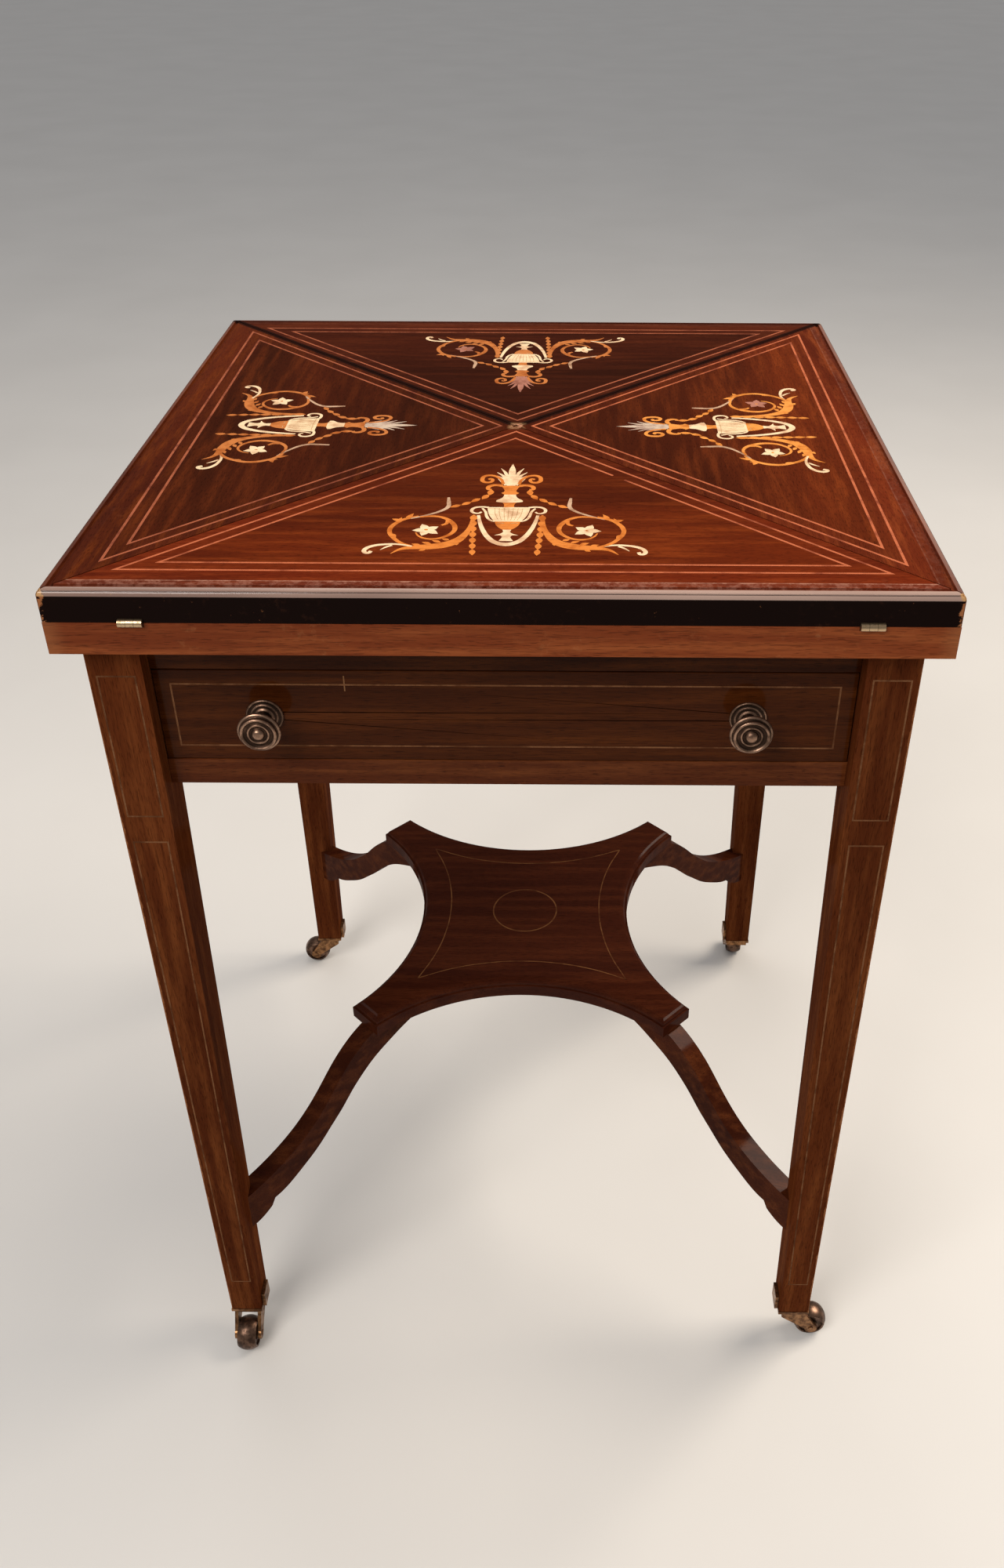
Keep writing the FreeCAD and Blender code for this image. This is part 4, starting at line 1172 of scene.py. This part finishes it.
middle(holly, [
    (2.7, 88.4, "corner"), (2.4, 84.4), (7.4, 80.2, "corner"), (3.2, 79.6), (4.4, 72.0, "corner")])
both(holly, [
    (12.8, 122.4), (17.5, 123.2), (21.8, 121.9), (23.7, 117.8), (22.4, 114.1), (19.0, 113.2),
    (17.3, 115.4)], (2.0, 2.2, 1.4))
both(holly, [(17.0, 121.0), (14.8, 115.8), (13.2, 107.0), (10.8, 102.4), (8.0, 100.6)], (1.4, 2.0, 1.2))
print("urn drawn with", len(drawing), "pieces of veneer")

# %% Swag, husk chains and scrolls
swag = [(18.9, 110.0), (17.4, 99.0), (14.7, 87.0), (10.9, 76.6), (6.4, 70.0)]
swag_round = swag + [(0.0, 67.2)] + [(-run, rise) for run, rise in reversed(swag)]
drawing.append((stroke(swag_round, (2.0, 4.6, 2.0)), holly))
husk_chain(satinwood, [
    (12.5, 151.0), (13.5, 144.5), (18.6, 137.7), (28.7, 128.0), (38.2, 122.4)], 5, 9.4, 4.4, 0.15)
husk_chain(satinwood, [(21.9, 111.0), (20.8, 80.0), (19.4, 52.0)], 7, 10.6, 4.8, 0.2)
both(satinwood, [
    (22.5, 108.6), (23.2, 93.0), (25.9, 80.7), (31.5, 70.6), (37.4, 66.2), (46.6, 63.4), (55.3, 62.6),
    (63.0, 60.0), (68.6, 53.6)], (1.2, 2.6, 4.6, 6.8, 7.8, 7.2, 5.2, 2.8, 0.5))
acanthus_tips = (
    ((34.6, 72.6), (39.6, 75.4)), ((39.6, 69.6), (45.4, 72.6)), ((45.2, 67.2), (51.4, 70.0)),
    ((51.4, 65.0), (57.4, 67.4)), ((30.2, 70.0), (29.8, 65.6)), ((48.0, 60.6), (52.0, 57.6)),
)
for start, tip in acanthus_tips:
    petals(satinwood, start, tip, 3.0)
both(satinwood, [
    (56.7, 63.6), (63.4, 68.0), (69.2, 75.7), (72.7, 84.7), (72.2, 92.4), (69.2, 98.8), (66.1, 102.8),
    (61.5, 105.8), (56.6, 107.8)], (2.4, 3.2, 2.6))
scroll_tips = (
    ((69.6, 97.0), (67.2, 106.4)), ((64.6, 103.0), (60.3, 112.6)), ((67.0, 101.0), (73.4, 104.0)),
    ((71.6, 82.0), (67.8, 76.4)),
)
for start, tip in scroll_tips:
    petals(satinwood, start, tip, 3.4)
both(stained, [
    (61.5, 104.6), (55.8, 107.4), (49.6, 111.4), (42.8, 117.0), (39.3, 122.8), (39.4, 131.0),
    (40.0, 138.0)], (1.4, 1.6, 1.9, 2.3, 2.8, 2.6, 1.6))
both(satinwood, [
    (56.0, 107.0), (46.7, 108.2), (39.9, 105.2), (34.8, 98.4), (32.5, 91.0), (33.5, 84.0), (37.5, 78.2),
    (43.5, 74.6), (49.6, 75.0), (54.2, 78.8), (56.4, 83.6)],
    (1.6, 2.2, 2.8, 3.4, 3.2, 2.8, 2.4, 2.0, 1.8, 1.4, 0.8))
both(satinwood, [(38.2, 102.4), (38.4, 97.0), (41.2, 94.6)], (1.8, 2.6, 1.6))
print("scrolls drawn,", len(drawing), "pieces so far")

# %% Flowers and leaf ends
flower_middle = (50.0, 87.7)
for tip in ((58.9, 86.8), (53.6, 96.2), (42.9, 92.6), (42.4, 82.0), (52.4, 79.0)):
    petals(first_flower, flower_middle, tip, 5.4, mirror=holly)
petals(satinwood, (49.0, 87.2), (51.6, 88.4), 2.2)
both(holly, [
    (56.7, 63.8), (65.7, 66.6), (74.4, 66.2), (81.0, 63.8), (84.4, 60.0), (84.7, 55.8), (82.2, 54.2),
    (80.8, 57.0)], (1.4, 3.0, 2.4))
both(holly, [(69.0, 65.2), (72.4, 62.4), (75.4, 58.6)], (1.8, 1.6, 0.4))
print("flowers drawn,", len(drawing), "pieces so far")

# %% Engraving and layers
engraving_lift = 0.07 * mm
flute, rim = (0.25, 0.4, 0.2), (0.3, 0.5, 0.3)
belly_share, foot_share = 0.92, 0.66
for run in (2.9, 6.1, 9.0):
    points = [(run, 121.4), (run * belly_share, 112.0), (run * foot_share, 102.4)]
    both(engraved, points, flute, engraving_lift)
middle_flute = [(0.0, 121.4), (0.0, 112.0), (0.0, 102.4)]
bowl_rim = [(-13.1, 120.4), (0.0, 119.8), (13.1, 120.4)]
for points, widths in ((middle_flute, flute), (bowl_rim, rim)):
    drawing.append((stroke(points, widths, engraving_lift), engraved))
both(engraved, [(2.0, 97.6), (4.4, 98.4), (6.6, 97.8)], rim, engraving_lift)

# Neighbours in the drawing lie at slightly different heights, so that no two faces share a plane
layer_step = 0.004 * mm
layers = 16
for number, (mesh, wood) in enumerate(drawing):
    for vertex in mesh.vertices:
        if vertex.co.z > 0.0:
            vertex.co.z += layer_step * (number % layers)
print("marquetry drawn with", len(drawing), "pieces of veneer")


# %% Marquetry woods and placing
def marquetry_finish(name, light, dark, scorch):
    """Coloured veneer with fine grain, shaded brown in places with hot sand."""
    material, tree, shader = new_finish(name)
    shade = noise(coordinates(tree), 95.0, 4.0, 0.6)
    fibre = noise(grain_vector(tree, "x", 0.15), 1300.0, 2.0)
    colour = mix(ramp(shade, 0.42, 0.7), light, dark)
    colour = mix(ramp(fibre, 0.5, 0.72, 0.0, 0.35), colour, scorch)
    polish(shader, colour, ramp(shade, 0.3, 0.7, 0.28, 0.46), 0.35)
    bump(shader, fibre, 0.12, 0.1 * mm)
    return material


leaf_holly = marquetry_finish("marquetry_holly", "dec49d", "be9672", "9a7049")
leaf_stained = marquetry_finish("marquetry_stained", "b9977a", "8f6a50", "6b4430")
leaf_engraved = marquetry_finish("marquetry_engraving", "b8966c", "9f7a52", "85623f")
# The satinwood is painted darker on the back and left leaves as painted shade, since they lie away from
# the light, and the plume and the first flower differ in colour on each leaf
own_woods = {
    "red": marquetry_finish("marquetry_satinwood_red", "c97632", "a5551c", "7c3f18"),
    "gold": marquetry_finish("marquetry_satinwood_gold", "d4883e", "ae6222", "84481a"),
    "dull": marquetry_finish("marquetry_satinwood_dull", "b56c36", "954e1e", "703a18"),
    "white": leaf_holly,
    "grey": marquetry_finish("marquetry_greyed", "bda892", "9b8070", "785c4b"),
    "rosy": marquetry_finish("marquetry_rosy", "a06a58", "82503f", "63382b"),
}
leaf_veneers = {
    "front": ("red", "white", "white"), "right": ("gold", "grey", "rosy"),
    "back": ("dull", "rosy", "rosy"), "left": ("dull", "grey", "white"),
}
motif_shift = -3.5 * mm
for side, angle in side_turns.items():
    place = about_z(angle, 4) @ Matrix.Translation((0.0, -half_top + motif_shift, top_z))
    leaf_satinwood, leaf_plume, leaf_flower = [own_woods[name] for name in leaf_veneers[side]]
    woods = [leaf_holly, leaf_satinwood, leaf_stained, leaf_engraved, leaf_plume, leaf_flower]
    keep_piece("marquetry_" + side, gather(drawing, place), woods, side + "_leaf")
print("marquetry laid on four leaves")

# %% [markdown]
# ## Lines on the undertier
# The shelf has one fine line that follows its four hollow sides and meets in points at the corners,
# and a ring in the middle. Each side is an arc, so its line is a larger arc about the same centre,
# and the points where neighbours meet lie on the diagonals.

# %% Undertier lines
shelf_line_in = 26.0 * mm
shelf_line_width = 1.0
shelf_waist = 95.0 * mm
shelf_corner_flat = 33.0 * mm
round_radius = 30.0 * mm
round_line_width = 1.3 * mm
half_chord = shelf_high.x - shelf_corner_flat / math.sqrt(2)
hollow = shelf_high.y - shelf_waist
side_radius = (half_chord ** 2 + hollow ** 2) / (2 * hollow)
centre_out = shelf_waist + side_radius
line_radius = side_radius + shelf_line_in
meet = (centre_out - math.sqrt(2 * line_radius ** 2 - centre_out ** 2)) / 2
swing = math.asin(meet / line_radius)
shelf_parts = []
arc_steps = 6
for angle in side_turns.values():
    turn = math.radians(angle)
    arc = []
    for step in range(arc_steps + 1):
        bearing = swing * (2 * step / arc_steps - 1)
        spot_here = Vector((
            line_radius * math.sin(bearing), line_radius * math.cos(bearing) - centre_out))
        arc.append(tuple(spot_here @ Matrix.Rotation(turn, 2) / mm))
    shelf_parts.append((stroke(arc, (shelf_line_width,) * 3), 0))
work = gather(shelf_parts, Matrix.Translation((0.0, 0.0, shelf_high.z)))
bmesh.ops.create_circle(work, cap_ends=True, segments=72, radius=round_radius)
work.faces.ensure_lookup_table()
disc = work.faces[-1]
outline = [vertex.co + shelf_high.z * up for vertex in disc.verts]
bmesh.ops.delete(work, geom=list(disc.verts), context="VERTS")
ring_inlay(work, outline, round_line_width, up)
shelf_line = line_finish("shelf_line_boxwood", "654126", "412314", 0.5, 0.1)
keep_piece("undertier_lines", work, [shelf_line], "frame")
bpy.data.objects.remove(square_pen)
print("undertier line meets at", round(meet, 4), "m along each axis")

# %% [markdown]
# ## Baize
# Open, the table shows a green woollen cloth glued into a shallow recess in the bed and in the back
# of each leaf. It is cut square for the bed and as triangles for the leaves, lies almost flat, and is
# felted so closely that no weave shows, only a short nap. Each lining is a thin closed sheet with
# slight unevenness in it.


# %% Baize finish
def baize_finish():
    """Green felted cloth with a short nap and paler rubbed patches."""
    material, tree, shader = new_finish("green_baize")
    plain = coordinates(tree)
    nap = noise(plain, 1400.0, 3.0, 0.7)
    felt = add_node(tree, "TexVoronoi", {"Vector": plain, "Scale": 2200.0})["Distance"]
    rubbed_patches = ramp(noise(plain, 16.0, 5.0, 0.6), 0.4, 0.72)
    colour = mix(rubbed_patches, "22502c", "2d5c36")
    colour = mix(ramp(nap, 0.4, 0.7, 0.0, 0.5), colour, "163a1f")
    feed(shader.inputs, {
        "Base Color": colour, "Roughness": ramp(nap, 0.3, 0.7, 0.86, 0.98), "Sheen Weight": 0.2,
        "Specular IOR Level": 0.2})
    bump(shader, calc("ADD", nap, felt), 0.5, 0.4 * mm)
    return material


green_baize = baize_finish()
wave_height = 0.08 * mm
wave_x, start_x = 61, 17
wave_y, start_y = 53, 5


def lining(name, work, thickness, top, body, replaced):
    """Thicken a flat cloth, let it lie a little uneven, and make it stand for its CAD solid."""
    for vertex in push(work, list(work.faces), (0.0, 0.0, thickness)):
        waves = math.sin(wave_x * vertex.co.x + start_x) * math.sin(wave_y * vertex.co.y + start_y)
        vertex.co.z -= wave_height * (1 + waves) / 2
    bmesh.ops.translate(work, verts=work.verts, vec=(0.0, 0.0, top - thickness))
    piece = keep_piece(name, work, [green_baize], body)
    for face in piece.data.polygons:
        face.use_smooth = False
    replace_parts(piece, replaced)
    return piece


print("baize ready, uneven by", wave_height, "m")

# %% Bed lining
cloth_low, cloth_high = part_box("bed_baize")
cloth_side = cloth_high.x - cloth_low.x
cloth_thickness = cloth_high.z - cloth_low.z
work = bmesh.new()
bmesh.ops.create_grid(work, x_segments=40, y_segments=40, size=cloth_side / 2)
bed_lining = lining("bed_lining", work, cloth_thickness, cloth_high.z, "top_bed", "bed_baize")
print("bed lining", round(cloth_side, 4), "m square")

# %% Leaf linings
low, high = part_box("leaf_front_baize")
for side, angle in side_turns.items():
    work = bmesh.new()
    corners = [(low.x, low.y, 0.0), (high.x, low.y, 0.0), (0.0, high.y, 0.0)]
    work.faces.new([work.verts.new(corner) for corner in corners])
    bmesh.ops.subdivide_edges(work, edges=work.edges, cuts=24, use_grid_fill=True)
    bmesh.ops.rotate(work, verts=work.verts, matrix=about_z(angle))
    cloth = lining(
        "leaf_lining_" + side, work, high.z - low.z, high.z, side + "_leaf", "leaf_" + side + "_baize")
